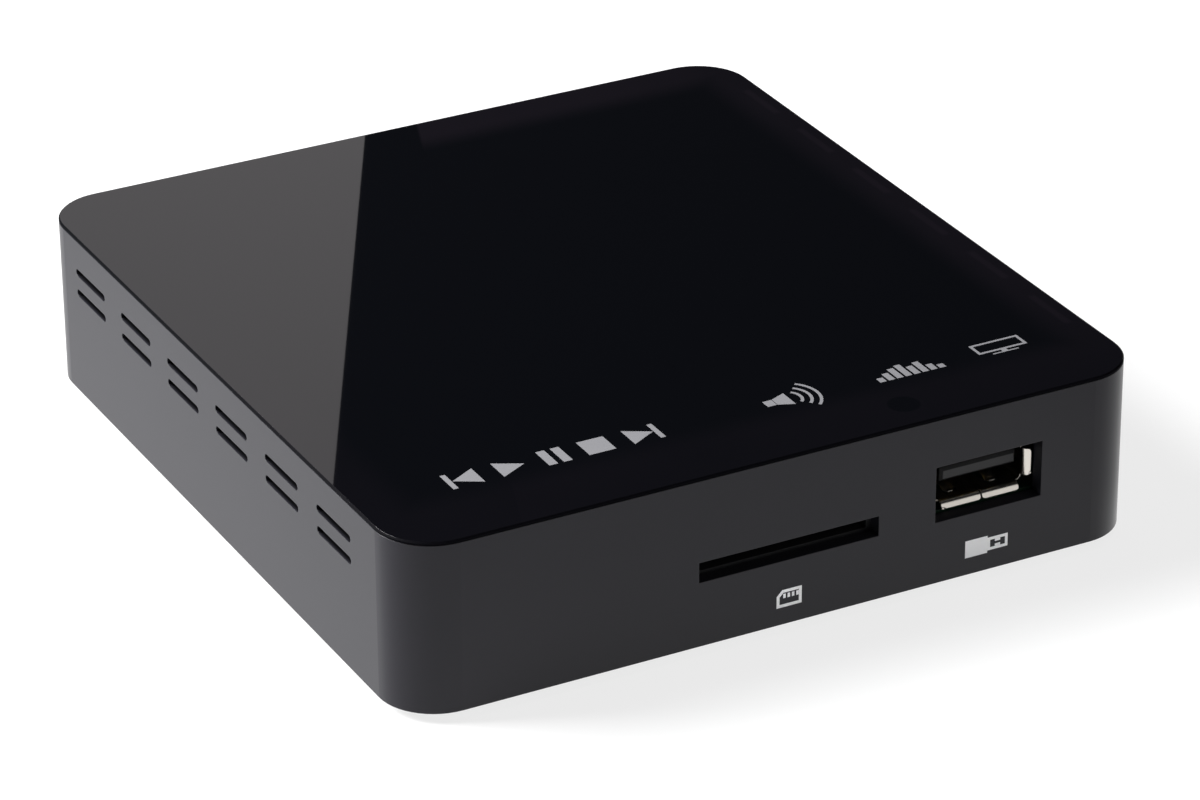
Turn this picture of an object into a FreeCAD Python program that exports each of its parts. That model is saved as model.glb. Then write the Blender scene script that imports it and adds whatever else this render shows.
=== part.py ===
"""Small network media player with a rear tray for a 2.5 inch hard drive.

Millimetres. +X is the viewer's right at the front, +Y runs to the rear, +Z is up.
The origin is on the table, under the middle of the case.
"""
import FreeCAD, Part
import math
import os

V = FreeCAD.Vector

# ---- case; its width, depth and height follow from what it holds, further down ----
corner_radius = 7.65      # upright corners, seen from above
wall = 2.0                # side walls of the body
foot_proud = 1.4          # feet below the body

# ---- glossy top panel ----
panel_thickness = 1.8
panel_edge = 0.4          # edge that shows above the body's rim
panel_bevel = 0.2         # bevel of the panel's upper edge
panel_seam = 0.08         # shadow gap under the panel's edge
panel_fit = 0.15          # side gap of the panel's step in the rim
rim_wall = 1.0            # wall left outside that step
tape_thickness = 0.2
tape_margin = 0.4
ledge_thickness = 0.8
ledge_side = 3.0
ledge_front = 7.0
ledge_corner = 3.0

# ---- flats that stand for a circle on small parts that repeat ----
hole_flats = 6
bar_flats = 12
head_flats = 12
foot_flats = 20
disc_flats = 32
corner_flats = 3          # per quarter turn
hidden_flats = 5          # per quarter turn of the case's inner corners
vent_flats = 4            # per half turn

# ---- side vents ----
vent_count = 6
vent_pitch = 15.2
vent_length = 9.75
vent_height = 1.05
vent_front = 19.46        # front face to the middle of the first pair
vent_drop = 2.34          # upper row's middle under the panel's ledge
vent_row_step = 3.01

# ---- bottom cover ----
cover_thickness = 1.8
cover_fit = 0.1
lip_height = 1.3
lip_thickness = 1.0
lip_end_gap = 12.0        # the lip stops this far from each corner
foot_radius = 4.0
foot_pocket = 0.6
foot_inset_x = 11.0
foot_inset_y = 12.0
grille_slots = 7
grille_pitch = 3.6
grille_width = 1.6
grille_length = 20.0

# ---- screws ----
case_screw_radius = 1.25
case_screw_head = 2.2
case_screw_head_height = 1.0
case_screw_length = 9.0
board_screw_radius = 1.0
board_screw_head = 1.9
board_screw_head_height = 0.9
thread_bite = 0.15        # how far the screw core fills its plastic hole
boss_radius = 3.0
boss_inset = 3.8          # from the inner faces of two walls
boss_drop = 0.4           # bosses under the bezel's opening
boss_rib = 1.0

# ---- main board ----
board_thickness = 1.6
board_rise = 5.5          # posts of the bottom cover
board_gap = 0.5           # edge of the board to the walls
post_radius = 2.6
post_inset = 10.5         # from the side walls
post_front = 23.0         # from the front wall
post_rear = 27.0          # from the rear wall
boss_gap = 0.5

# ---- card socket ----
card_slot_margin = 0.65   # slot in the wall beside the socket's inner width
card_receiver_gap = 1.35  # socket to the infrared receiver
card_slot_height = 2.8
card_width = 24.3
card_socket_height = 3.0
card_socket_depth = 28.5
card_floor = 0.5
card_wall = 1.0
card_channel = 2.2        # side channel of the slider
card_sheet = 0.2
card_contact_count = 9
card_contact_pitch = 2.5
card_contact_width = 0.9
card_contact_length = 9.0
slider_length = 8.0
slider_travel = 3.0
slider_gap = 0.3
heart_length = 2.2        # cam groove in the slider's top
heart_width = 0.8
heart_inset = 1.2
spring_wire = 0.25
spring_turns = 6
spring_flats = 8          # per turn
connector_gap = 0.1       # connectors behind the inner face of a wall

# ---- USB receptacle ----
usb_bay_gap = 0.73        # shell to the drive bay
usb_inner_width = 12.5
usb_inner_height = 5.12
usb_sheet = 0.3
usb_length = 13.4
usb_lift = 0.85           # underside of the shell above the board
usb_corner = 0.5
usb_lip_reach = 1.0
usb_lip_forward = 0.9
usb_lip_split = 0.3
usb_lip_side = 3.9
usb_tongue_width = 11.1
usb_tongue_thickness = 1.84
usb_tongue_drop = 0.6
usb_tongue_setback = 0.5  # behind the lips' ends
usb_tongue_nose = 0.36    # bevel round the tongue's end
usb_back = 3.0            # length of the block that closes the shell
usb_contact_width = 1.0
usb_contact_gap = 0.1
usb_contact_setback = 0.8
usb_contact_inner = 1.0   # middles of the inner and the outer pair
usb_contact_outer = 3.5
usb_leg = 2.5
usb_leg_back = 6.0        # rear end of the shell to its legs
usb_window_side = 1.55    # window beside the shell's inner width
usb_window_over = 1.34    # window above and below the shell's inner height
usb_finger_spread = 3.1   # spring fingers from the shell's middle
usb_finger_width = 1.7
usb_finger_tip = 2.5      # tip and root behind the mouth
usb_finger_root = 9.0
usb_finger_gap = 0.22
usb_finger_lift = 0.3

# ---- hard drive ----
drive_width = 69.85
drive_length = 100.0
drive_height = 7.0
drive_corner = 2.0
drive_lid = 0.5
drive_emboss = 0.3
lid_screw_inset = 4.0
lid_screw_head = 1.9
hub_radius = 9.0
drive_board_length = 50.0
drive_board_thickness = 1.0
drive_hole_radius = 1.5
drive_hole_depth = 2.4
drive_hole_height = 3.0
drive_hole_front = 14.0
drive_hole_pitch = 76.6
drive_end = 4.4           # inner face of the front wall to the drive

# ---- drive connector ----
plug_offset = 9.5         # left side of the drive to the plug
plug_width = 33.4
plug_notch_height = 4.4
plug_notch_depth = 4.6
plug_height = 3.4         # underside of the drive to the tongues' middle
tongue_thickness = 1.2
power_tongue = 20.6
signal_tongue = 9.6
tongue_inset = 1.0        # tongues from the plug's ends
plug_block = 3.0
plug_gap = 0.3
riser_thickness = 1.0
riser_gap = 0.2

# ---- drive tray and its cage ----
bay_gap = 0.3             # tray to the walls of the bay
tray_rail = 0.9
tray_floor = 0.8
tray_front_gap = 3.6      # front of the tray behind the front of the drive
tray_lead = 2.0           # bevel at the front ends of the rails
tray_floor_frame = 9.0
drive_fit = 0.15
tray_end_wall = 1.6
tray_end_gap = 0.3
cage_thickness = 0.6
cage_clear = 0.15         # above the card socket
cage_side_gap = 0.1
cage_flange_height = 5.0
cage_front_gap = 4.0
cage_bar = 7.0
cage_windows = 3
shelf_width = 1.2
shelf_height = 1.2
standoff_radius = 2.2
standoff_step = 0.4       # shoulder under the cage
standoff_inset = 4.0

# ---- tray bezel and handle ----
bezel_above = 0.3
bezel_margin = 0.75       # bezel below the tray floor
bezel_seam = 0.2
bezel_depth = 3.7
drive_head_gap = 0.35     # drive to the panel's ledge
handle_length = 34.0
handle_height = 5.4
handle_thickness = 1.5
handle_inset = 0.2
handle_gap = 0.3
handle_from_right = 7.0
handle_barrel = 1.2
handle_swing_gap = 0.25
pin_radius = 0.6
pin_run = 0.05
grip_radius = 5.8
grip_depth = 0.6
scoop_radius = 7.0
scoop_depth = 1.9
peg_radius = 1.2
peg_spread = 24.0

# ---- rear sockets ----
jack_height = 6.0
jack_rise = 5.3           # middle of the low jacks above the body's bottom cover
dc_inset = 14.5           # left side of the case to the power socket
dc_width = 7.2
dc_length = 10.0
dc_bore = 2.35
dc_pin = 0.825
dc_back = 2.0             # closed end of the housing
dc_pin_drop = 0.6         # tip behind the mouth
dc_av_pitch = 16.0
av_digital_pitch = 13.0
jack_width = 6.4
jack_length = 12.0
jack_bore = 1.8
jack_collar = 2.75
collar_gap = 0.15
collar_drop = 0.3         # collar's end inside the rear face
jack_back = 1.5
hdmi_bay_gap = 1.55       # shell to the drive bay
hdmi_width = 14.0
hdmi_height = 4.55
hdmi_sheet = 0.4
hdmi_length = 11.0
hdmi_lift = 0.3
hdmi_chamfer = 1.2
hdmi_tongue_width = 11.2
hdmi_tongue_thickness = 1.3
hdmi_back = 3.0
hdmi_setback = 1.6        # tongue's end behind the mouth
hdmi_leg = 1.6
hdmi_leg_inset = 1.5      # rear legs to the shell's closed end
port_margin = 0.5
reset_gap = 1.3           # switch to the video socket
reset_boss_gap = 1.0      # switch to the corner boss
reset_hole = 0.9
reset_stem = 0.6
reset_travel = 0.3
reset_body = 3.0
reset_depth = 3.2
reset_rise = 1.9          # stem's middle above the board
reset_back = 0.6          # switch behind the other sockets' faces
reset_cup = 0.8           # depth of the stem's seat in the switch
reset_reach = 0.9         # stem in front of the switch
reset_run = 0.15          # stem to its seat, all round

# ---- infrared receiver ----
ir_usb_gap = 3.08         # window's middle to the USB shell
ir_front = 5.2            # window's middle behind the front face
ir_window_radius = 2.1
ir_width = 4.6
ir_depth = 2.8
ir_height = 6.4
ir_lead = 0.45
ir_lead_pitch = 1.27

# ---- chips and power parts on the main board ----
chip_front = 47.0         # processor's middle behind the front face
chip_size = 19.0
chip_height = 1.8
chip_step = 1.0           # package's lid inside its base
pad_height = 0.5
pad_inset = 1.5           # pad inside the package
sink_size = 20.0
sink_base = 1.4
sink_fins = 7
sink_fin = 0.9
sink_height = 7.0
memory_size = 10.5
memory_height = 1.1
capacitor_radius = 2.5
capacitor_height = 7.0
capacitor_base = 0.6
capacitor_count = 3
capacitor_bay_gap = 4.45  # first can's middle to the drive bay
capacitor_rear = 39.0     # cans' middle in front of the rear face
capacitor_pitch = 7.5
inductor_size = 5.0
inductor_height = 2.6
inductor_groove = 0.4
inductor_count = 3
inductor_pitch = 9.0
inductor_rear = 20.0      # coils' middle in front of the rear face
memory_pitch = 14.0
memory_bay_gap = 12.0     # right pair's middle to the drive bay
memory_shift = -6.0       # front pair behind the processor's middle
flash_memory_gap = 4.8    # leads to the left memory pair
flash_length = 18.4
flash_width = 12.0
flash_leads = 8
lead_reach = 0.8
lead_thickness = 0.3
crystal_length = 11.2
crystal_width = 4.6
crystal_height = 3.2

# ---- the case, from what it holds ----
tray_width = drive_width + 2 * (drive_fit + tray_rail)
boss_reach = boss_inset + boss_radius
rear_room = (hdmi_bay_gap + hdmi_width + 2 * hdmi_sheet + reset_gap + reset_body + reset_boss_gap
             + boss_reach)
width = 2 * wall + tray_width + 2 * bay_gap + rear_room
depth = wall + drive_end + drive_length + tray_end_gap + tray_end_wall + bezel_depth
body_height = (cover_thickness + board_rise + board_thickness + card_socket_height + cage_clear
               + cage_thickness + tray_floor + drive_height + drive_head_gap + ledge_thickness
               + tape_thickness + panel_thickness)

# ---- levels, upwards ----
base_z = foot_proud
top_z = base_z + body_height
cover_top = base_z + cover_thickness
board_z = cover_top + board_rise
board_top = board_z + board_thickness
card_top = board_top + card_socket_height
cage_z = card_top + cage_clear
tray_z = cage_z + cage_thickness
drive_z = tray_z + tray_floor
ledge_bottom = drive_z + drive_height + drive_head_gap
ledge_top = ledge_bottom + ledge_thickness
panel_bottom = ledge_top + tape_thickness
rim_z = top_z - panel_edge - panel_seam
jack_z = cover_top + jack_rise
reset_z = board_top + reset_rise
plug_z = drive_z + plug_height
usb_mid_z = board_top + usb_lift + usb_sheet + usb_inner_height / 2
hdmi_z = board_top + hdmi_lift
hdmi_mid_z = hdmi_z + hdmi_sheet + hdmi_height / 2
bezel_z = tray_z - bezel_margin
bezel_top = ledge_bottom - bezel_above

# ---- places, left to right ----
half_w = width / 2
in_x = half_w - wall
tray_left = -in_x + bay_gap
tray_right = tray_left + tray_width
drive_left = tray_left + tray_rail + drive_fit
drive_right = drive_left + drive_width
bay_right = tray_right + bay_gap
plug_left = drive_left + plug_offset
plug_right = plug_left + plug_width
usb_left = bay_right + usb_bay_gap
usb_x = usb_left + usb_sheet + usb_inner_width / 2
ir_x = usb_left - ir_usb_gap
card_right = ir_x - ir_width / 2 - card_receiver_gap - card_sheet - card_wall - card_channel
card_left = card_right - card_width
card_out_left = card_left - card_wall
card_out_right = card_right + card_channel + card_wall
hdmi_x = bay_right + hdmi_bay_gap + hdmi_sheet + hdmi_width / 2
reset_x = hdmi_x + hdmi_width / 2 + hdmi_sheet + reset_gap + reset_body / 2
chip_x = (bay_right + in_x) / 2
dc_x = -half_w + dc_inset
av_x = dc_x + dc_av_pitch
digital_x = av_x + av_digital_pitch
post_x = in_x - post_inset

# ---- places, front to rear ----
half_d = depth / 2
in_y = half_d - wall
drive_front = -in_y + drive_end
drive_rear = drive_front + drive_length
bezel_y = drive_rear + tray_end_gap + tray_end_wall
connector_front = -in_y + connector_gap
connector_rear = in_y - connector_gap
card_rear = connector_front + card_socket_depth
usb_rear = connector_front + usb_lip_forward + usb_length
ir_y = -half_d + ir_front
chip_y = -half_d + chip_front
post_front_y = -in_y + post_front
post_rear_y = in_y - post_rear


# ---------------------------------------------------------------- basic forms

def block(x0, x1, y0, y1, z0, z1):
    """A plain box between two corners."""
    return Part.makeBox(x1 - x0, y1 - y0, z1 - z0, V(x0, y0, z0))


def bar(foot, run, radius, flats):
    """A round bar along run; with flats it is a polygon bar, for small parts that repeat."""
    if not flats:
        return Part.makeCylinder(radius, run.Length, foot, run)
    u = V(1, 0, 0) if run.z else V(0, 0, 1)
    v = run.cross(u).normalize()
    turns = [2 * math.pi * (k + 0.5) / flats for k in range(flats)]
    points = [(radius * math.cos(t), radius * math.sin(t)) for t in turns]
    return profile(points, lambda c, d: foot + u * c + v * d, run)


def post(x, y, z0, z1, radius, flats=0):
    """An upright round bar."""
    return bar(V(x, y, z0), V(0, 0, z1 - z0), radius, flats)


def rod_y(x, z, y0, y1, radius, flats=0):
    """A round bar that runs front to rear."""
    return bar(V(x, y0, z), V(0, y1 - y0, 0), radius, flats)


def rod_x(y, z, x0, x1, radius, flats=0):
    """A round bar that runs left to right."""
    return bar(V(x0, y, z), V(x1 - x0, 0, 0), radius, flats)


def rounded_face(a0, a1, b0, b1, radius, at, flats=0):
    """A rectangle with round corners, or corners in flats; at(a, b) puts its points in space."""
    centres = [(a1 - radius, b0 + radius, -90), (a1 - radius, b1 - radius, 0),
               (a0 + radius, b1 - radius, 90), (a0 + radius, b0 + radius, 180)]

    def on_arc(a, b, degrees):
        t = math.radians(degrees)
        return at(a + radius * math.cos(t), b + radius * math.sin(t))

    if flats:
        points = [on_arc(a, b, start + 90 * k / flats) for a, b, start in centres
                  for k in range(flats + 1)]
        return Part.Face(Part.makePolygon(points + points[:1]))
    edges = []
    last = on_arc(*centres[-1][:2], 270)
    for a, b, start in centres:
        first, end = on_arc(a, b, start), on_arc(a, b, start + 90)
        if last.distanceToPoint(first) > 1e-6:
            edges.append(Part.LineSegment(last, first).toShape())
        edges.append(Part.Arc(first, on_arc(a, b, start + 45), end).toShape())
        last = end
    return Part.Face(Part.Wire(edges))


def stadium_x(y, z, length, height, x0, x1):
    """A round-ended slot that runs left to right, its length along Y."""
    r = height / 2
    points = []
    for middle, start in ((y + length / 2 - r, -90), (y - length / 2 + r, 90)):
        for k in range(vent_flats + 1):
            t = math.radians(start + 180 * k / vent_flats)
            points.append((middle + r * math.cos(t), z + r * math.sin(t)))
    return profile(points, lambda a, b: V(x0, a, b), V(x1 - x0, 0, 0))


def plate(x0, x1, y0, y1, radius, z0, z1, flats=0):
    """A flat plate with round corners, seen from above."""
    face = rounded_face(x0, x1, y0, y1, radius, lambda a, b: V(a, b, z0), flats)
    return face.extrude(V(0, 0, z1 - z0))


def tunnel(x0, x1, z0, z1, radius, y0, y1, flats=0):
    """A bar along Y with a round-cornered section."""
    face = rounded_face(x0, x1, z0, z1, radius, lambda a, b: V(a, y0, b), flats)
    return face.extrude(V(0, y1 - y0, 0))


def profile(points, at, run):
    """A polygon extruded along run; at(a, b) puts its points in space."""
    corners = [at(a, b) for a, b in points]
    return Part.Face(Part.makePolygon(corners + corners[:1])).extrude(run)


def case_plate(inset, z0, z1, flats=0):
    """The outline of the case, drawn in by inset, between two levels."""
    radius = corner_radius - inset
    return plate(-half_w + inset, half_w - inset, -half_d + inset, half_d - inset, radius, z0, z1, flats)


def fuse(shapes):
    """One solid from pieces that share faces or overlap."""
    return shapes[0].multiFuse(shapes[1:]).removeSplitter()


def cut(shape, tools):
    """The shape without the tools."""
    return shape.cut(Part.makeCompound(tools))


def save(node, shape):
    """Write one node; a list becomes a group of separate solids."""
    if isinstance(shape, list):
        shape = Part.makeCompound(shape)
    shape.exportStep("parts/" + node + ".step")


# ---------------------------------------------------------------------- places

def corners(x, y):
    """Four places, one in each quarter of the case."""
    return [(sx * x, sy * y) for sx in (-1, 1) for sy in (-1, 1)]


boss_places = corners(in_x - boss_inset, in_y - boss_inset)
foot_places = corners(half_w - foot_inset_x, half_d - foot_inset_y)
post_places = [(sx * post_x, y) for sx in (-1, 1) for y in (post_front_y, post_rear_y)]
standoff_places = [(x, y)
                   for x in (tray_left + standoff_inset, bay_right - standoff_inset)
                   for y in (card_rear + standoff_inset, drive_rear - 4 * standoff_inset)]
vent_places = [-half_d + vent_front + i * vent_pitch for i in range(vent_count)]


# ------------------------------------------------------------------ body shell

def vent_slots():
    """Pairs of round-ended slots through both side walls."""
    rows = [ledge_bottom - vent_drop, ledge_bottom - vent_drop - vent_row_step]
    return [stadium_x(y, z, vent_length, vent_height, x0, x0 + wall + 2)
            for x0 in (-half_w - 1, in_x - 1) for y in vent_places for z in rows]


def screw_bosses():
    """Corner bosses for the case screws, each tied to two walls by ribs."""
    shapes = []
    z0, z1 = cover_top, bezel_z - bezel_above - boss_drop
    for x, y in boss_places:
        sx, sy = math.copysign(1, x), math.copysign(1, y)
        end_x, end_y = sx * (in_x + wall / 2), sy * (in_y + wall / 2)
        shapes.append(post(x, y, z0, z1, boss_radius, bar_flats))
        shapes.append(block(min(x, end_x), max(x, end_x), y - boss_rib / 2, y + boss_rib / 2, z0, z1))
        shapes.append(block(x - boss_rib / 2, x + boss_rib / 2, min(y, end_y), max(y, end_y), z0, z1))
    return shapes


def ledge_gussets():
    """Small webs under the panel's ledge on the right wall, between the vents."""
    drop = 2 * ledge_side
    corner = [(in_x + wall / 2, ledge_bottom), (in_x - ledge_side, ledge_bottom),
              (in_x, ledge_bottom - drop), (in_x + wall / 2, ledge_bottom - drop)]
    return [profile(corner, lambda a, b: V(a, y + vent_pitch / 2 - boss_rib / 2, b), V(0, boss_rib, 0))
            for y in vent_places[:-1]]


def tray_mouth():
    """The space that the drive bay and the tray's bezel take out of the shell."""
    z0, z1 = bezel_z - bezel_above, ledge_bottom
    bay = block(-in_x, bay_right, 0, half_d + 1, z0, z1)
    corner = block(-half_w - 1, bay_right, bezel_y - bezel_seam, half_d + 1, z0, z1)
    return [bay, corner]


def front_windows():
    """The card slot and the USB opening."""
    card_z = board_top + (card_socket_height - card_slot_height) / 2
    card = block(card_left - card_slot_margin, card_right + card_slot_margin, -half_d - 1, -in_y,
                 card_z, card_z + card_slot_height)
    reach_x = usb_inner_width / 2 + usb_window_side
    reach_z = usb_inner_height / 2 + usb_window_over
    usb = block(usb_x - reach_x, usb_x + reach_x, -half_d - 1, -in_y,
                usb_mid_z - reach_z, usb_mid_z + reach_z)
    return [card, usb]


def rear_windows():
    """Holes for the power, signal and video sockets and the reset pin."""
    y0, y1 = in_y, half_d + 1
    hdmi_x0, hdmi_x1 = hdmi_x - hdmi_width / 2, hdmi_x + hdmi_width / 2
    reach = hdmi_sheet + port_margin
    return [rod_y(dc_x, jack_z, y0, y1, dc_bore + port_margin),
            rod_y(av_x, jack_z, y0, y1, jack_collar + collar_gap),
            rod_y(digital_x, jack_z, y0, y1, jack_collar + collar_gap),
            tunnel(hdmi_x0 - reach, hdmi_x1 + reach, hdmi_z - port_margin,
                   hdmi_mid_z + hdmi_height / 2 + reach, port_margin, y0, y1, corner_flats),
            rod_y(reset_x, reset_z, y0, y1, reset_hole, bar_flats)]


def body_shell():
    """Moulded frame: four walls, the ledge for the top panel, bosses and openings."""
    shell = case_plate(0, base_z, rim_z)
    shell = shell.cut(case_plate(wall, base_z, ledge_bottom, hidden_flats))
    shell = shell.cut(plate(-in_x + ledge_side, in_x - ledge_side, -in_y + ledge_front,
                            in_y - ledge_side, ledge_corner, ledge_bottom, ledge_top, hidden_flats))
    shell = shell.cut(case_plate(rim_wall, ledge_top, rim_z, hidden_flats))
    shelf = block(-in_x - wall / 2, -in_x + shelf_width, post_front_y, post_rear_y,
                  cage_z - shelf_height, cage_z)
    inside = case_plate(wall / 2, base_z, ledge_top, hidden_flats)
    added = [part.common(inside) for part in screw_bosses() + ledge_gussets() + [shelf]]
    shell = fuse([shell] + added)
    holes = vent_slots() + tray_mouth() + front_windows() + rear_windows()
    holes.append(post(ir_x, ir_y, ledge_bottom, ledge_top, ir_window_radius + panel_fit, foot_flats))
    thread = case_screw_radius - thread_bite
    holes += [post(x, y, cover_top, cover_top + case_screw_length, thread, hole_flats)
              for x, y in boss_places]
    return cut(shell, holes)


# ------------------------------------------------------------------- top panel

def top_panel():
    """Smoked acrylic panel: a lip over the rim and a step that drops inside it."""
    lip = case_plate(0, top_z - panel_edge, top_z)
    upper = [edge for edge in lip.Edges if edge.BoundBox.ZMin > top_z - panel_bevel / 2]
    lip = lip.makeChamfer(panel_bevel, upper)
    step = case_plate(rim_wall + panel_fit, panel_bottom, top_z - panel_edge, hidden_flats)
    return fuse([lip, step])


def panel_tape():
    """Double-sided tape between the ledge and the panel, open over the window."""
    outer = case_plate(rim_wall + panel_fit + tape_margin, ledge_top, panel_bottom, hidden_flats)
    x = in_x - ledge_side + tape_margin
    y0, y1 = -in_y + ledge_front - tape_margin, in_y - ledge_side + tape_margin
    inner = plate(-x, x, y0, y1, ledge_corner + tape_margin, ledge_top, panel_bottom, hidden_flats)
    window = post(ir_x, ir_y, ledge_top, panel_bottom, ir_window_radius + panel_fit + tape_margin,
                  bar_flats)
    return cut(outer, [inner, window])


def ir_window():
    """Dark lens in the ledge over the infrared receiver."""
    return post(ir_x, ir_y, ledge_bottom, panel_bottom, ir_window_radius, foot_flats)


# ---------------------------------------------------------------- bottom cover

def cover_lips():
    """Upright lips that centre the cover between the walls."""
    x, y = in_x - cover_fit, in_y - cover_fit
    end_x, end_y = half_w - lip_end_gap, half_d - lip_end_gap
    z0, z1 = base_z, cover_top + lip_height
    shapes = []
    for s in (-1, 1):
        xs, ys = sorted((s * x, s * (x - lip_thickness))), sorted((s * y, s * (y - lip_thickness)))
        shapes.append(block(xs[0], xs[1], -end_y, end_y, z0, z1))
        shapes.append(block(-end_x, end_x, ys[0], ys[1], z0, z1))
    return shapes


def bottom_cover():
    """Bottom plate with board posts, foot pockets, screw seats and a grille."""
    shapes = [case_plate(wall + cover_fit, base_z, cover_top, hidden_flats)] + cover_lips()
    for x, y in post_places:
        shapes.append(post(x, y, base_z, board_z, post_radius, bar_flats))
        for length, thickness in ((2.4 * post_radius, boss_rib), (boss_rib, 2.4 * post_radius)):
            shapes.append(block(x - length, x + length, y - thickness / 2, y + thickness / 2,
                                base_z, board_z - board_rise / 2))
    cover = fuse(shapes)
    tools = [post(x, y, base_z, base_z + foot_pocket, foot_radius, foot_flats) for x, y in foot_places]
    for x, y in boss_places:
        tools.append(post(x, y, base_z, cover_top, case_screw_radius + cover_fit, hole_flats))
        tools.append(post(x, y, base_z, base_z + case_screw_head_height, case_screw_head + cover_fit,
                          head_flats))
    for x, y in post_places:
        tools.append(post(x, y, board_z - board_rise, board_z, board_screw_radius - thread_bite, hole_flats))
    for i in range(grille_slots):
        x = chip_x + (i - (grille_slots - 1) / 2) * grille_pitch
        tools.append(block(x - grille_width / 2, x + grille_width / 2, chip_y - grille_length / 2,
                           chip_y + grille_length / 2, base_z, cover_top))
    return cut(cover, tools)


def rubber_feet():
    """Four moulded feet with a bevelled edge, glued in their pockets."""
    edge = foot_proud / 2
    feet = []
    for x, y in foot_places:
        foot = post(x, y, 0, base_z + foot_pocket, foot_radius, foot_flats)
        lower = [e for e in foot.Edges if e.BoundBox.ZMax < edge / 2]
        feet.append(foot.makeChamfer(edge, lower))
    return feet


def screw(x, y, z, length, radius, head, head_height, up):
    """A screw whose head lies on z; up is 1 when the shank points up."""
    if up > 0:
        return fuse([post(x, y, z - head_height, z, head, head_flats),
                     post(x, y, z, z + length, radius, hole_flats)])
    return fuse([post(x, y, z, z + head_height, head, head_flats),
                 post(x, y, z - length, z, radius, hole_flats)])


def case_screws():
    """Screws through the cover into the corner bosses."""
    seat = base_z + case_screw_head_height
    return [screw(x, y, seat, case_screw_length - thread_bite, case_screw_radius - thread_bite,
                  case_screw_head, case_screw_head_height, 1) for x, y in boss_places]


# ------------------------------------------------------------------ main board

def riser_tabs(x0, x1, gap):
    """Two tabs of the drive riser, or their slots in the main board."""
    tab = (x1 - x0) / 5
    y = -in_y + riser_gap
    return [block(x0 + k * tab - gap, x0 + (k + 1) * tab + gap, y - gap, y + riser_thickness + gap,
                  board_z, board_top) for k in (1, 3)]


def riser_span():
    """Left and right ends of the riser's foot on the main board."""
    left = -half_w + corner_radius + riser_gap
    right = card_out_left - card_sheet - 2 * riser_gap
    return left, right


def low_jacks():
    """Place, width and length of each socket that is sunk in the board."""
    return [(dc_x, dc_width, dc_length), (av_x, jack_width, jack_length),
            (digital_x, jack_width, jack_length)]


def main_board():
    """Printed board with cut-outs for the sunk sockets and the corner bosses."""
    x, y = in_x - board_gap, in_y - board_gap
    board = plate(-x, x, -y, y, corner_radius - wall, board_z, board_top)
    tools = []
    for bx, by in boss_places:
        sx, sy = math.copysign(x + 1, bx), math.copysign(y + 1, by)
        reach = boss_radius + boss_gap
        ix, iy = bx - math.copysign(reach, bx), by - math.copysign(reach, by)
        tools.append(block(min(sx, ix), max(sx, ix), min(sy, iy), max(sy, iy), board_z, board_top))
    for jx, jw, jl in low_jacks():
        tools.append(block(jx - jw / 2 - cover_fit, jx + jw / 2 + cover_fit,
                           connector_rear - jl - cover_fit, half_d, board_z, board_top))
    tools += [post(px, py, board_z, board_top, board_screw_radius, hole_flats)
              for px, py in post_places + standoff_places]
    left, right = riser_span()
    tools += riser_tabs(left, right, cover_fit)
    return cut(board, tools)


def board_screws():
    """Screws that hold the board on the cover's posts."""
    return [screw(x, y, board_top, board_thickness + board_rise - thread_bite,
                  board_screw_radius - thread_bite, board_screw_head, board_screw_head_height, -1)
            for x, y in post_places]


# -------------------------------------------------------------- card socket

def card_housing():
    """Black base of the card socket: floor, side walls and rear bar."""
    y0, y1 = connector_front, card_rear
    z0, z1 = board_top, card_top - card_sheet
    body = block(card_out_left, card_out_right, y0, y1, z0, z1)
    pocket = block(card_left, card_right, y0, y1 - 3 * card_wall, z0 + card_floor, z1)
    channel = block(card_right, card_out_right - card_wall, y0 + card_wall, y1 - card_wall,
                    z0 + card_floor, z1)
    comb = []
    for x in card_contact_places():
        half = card_contact_width / 2 + card_sheet
        comb.append(block(x - half, x + half, y1 - 10 * card_wall, y1, z0 + card_floor / 2,
                          z0 + 3 * card_floor))
    return cut(body, [pocket, channel] + comb)


def card_contact_places():
    """Middles of the nine card contacts."""
    middle = (card_left + card_right) / 2
    return [middle + (i - (card_contact_count - 1) / 2) * card_contact_pitch
            for i in range(card_contact_count)]


def card_contacts():
    """Bent spring strips that touch the card's underside."""
    low = board_top + card_floor / 2
    rise = 1.4 * card_floor
    length = card_contact_length
    line = [(card_rear, low), (card_rear - length / 2, low), (card_rear - 0.85 * length, low + rise),
            (card_rear - length, low + 0.7 * rise)]
    line += [(y, z + card_sheet) for y, z in reversed(line)]
    return [profile(line, lambda a, b: V(x - card_contact_width / 2, a, b), V(card_contact_width, 0, 0))
            for x in card_contact_places()]


def card_cover():
    """Stainless sheet over the socket with two side skirts."""
    y0, y1 = connector_front, card_rear
    outer = block(card_out_left - card_sheet, card_out_right + card_sheet, y0, y1, board_top, card_top)
    inner = block(card_out_left, card_out_right, y0, y1, board_top, card_top - card_sheet)
    notch = plate(card_left + 3 * card_wall, card_right - 3 * card_wall, y0 - card_wall, y0 + 2 * card_wall,
                  card_wall, card_top - card_sheet, card_top, corner_flats)
    slots = [plate(x - card_wall, x + card_wall, y1 - 16 * card_wall, y1 - 9 * card_wall,
                   card_wall / 2, card_top - card_sheet, card_top, corner_flats)
             for x in (card_left + 5 * card_wall, card_right - 5 * card_wall)]
    return cut(outer, [inner, notch] + slots)


def slider_start():
    """Front end of the slider when no card is in the socket."""
    return card_rear - 3 * card_wall - slider_length - 2 * slider_travel


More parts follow.
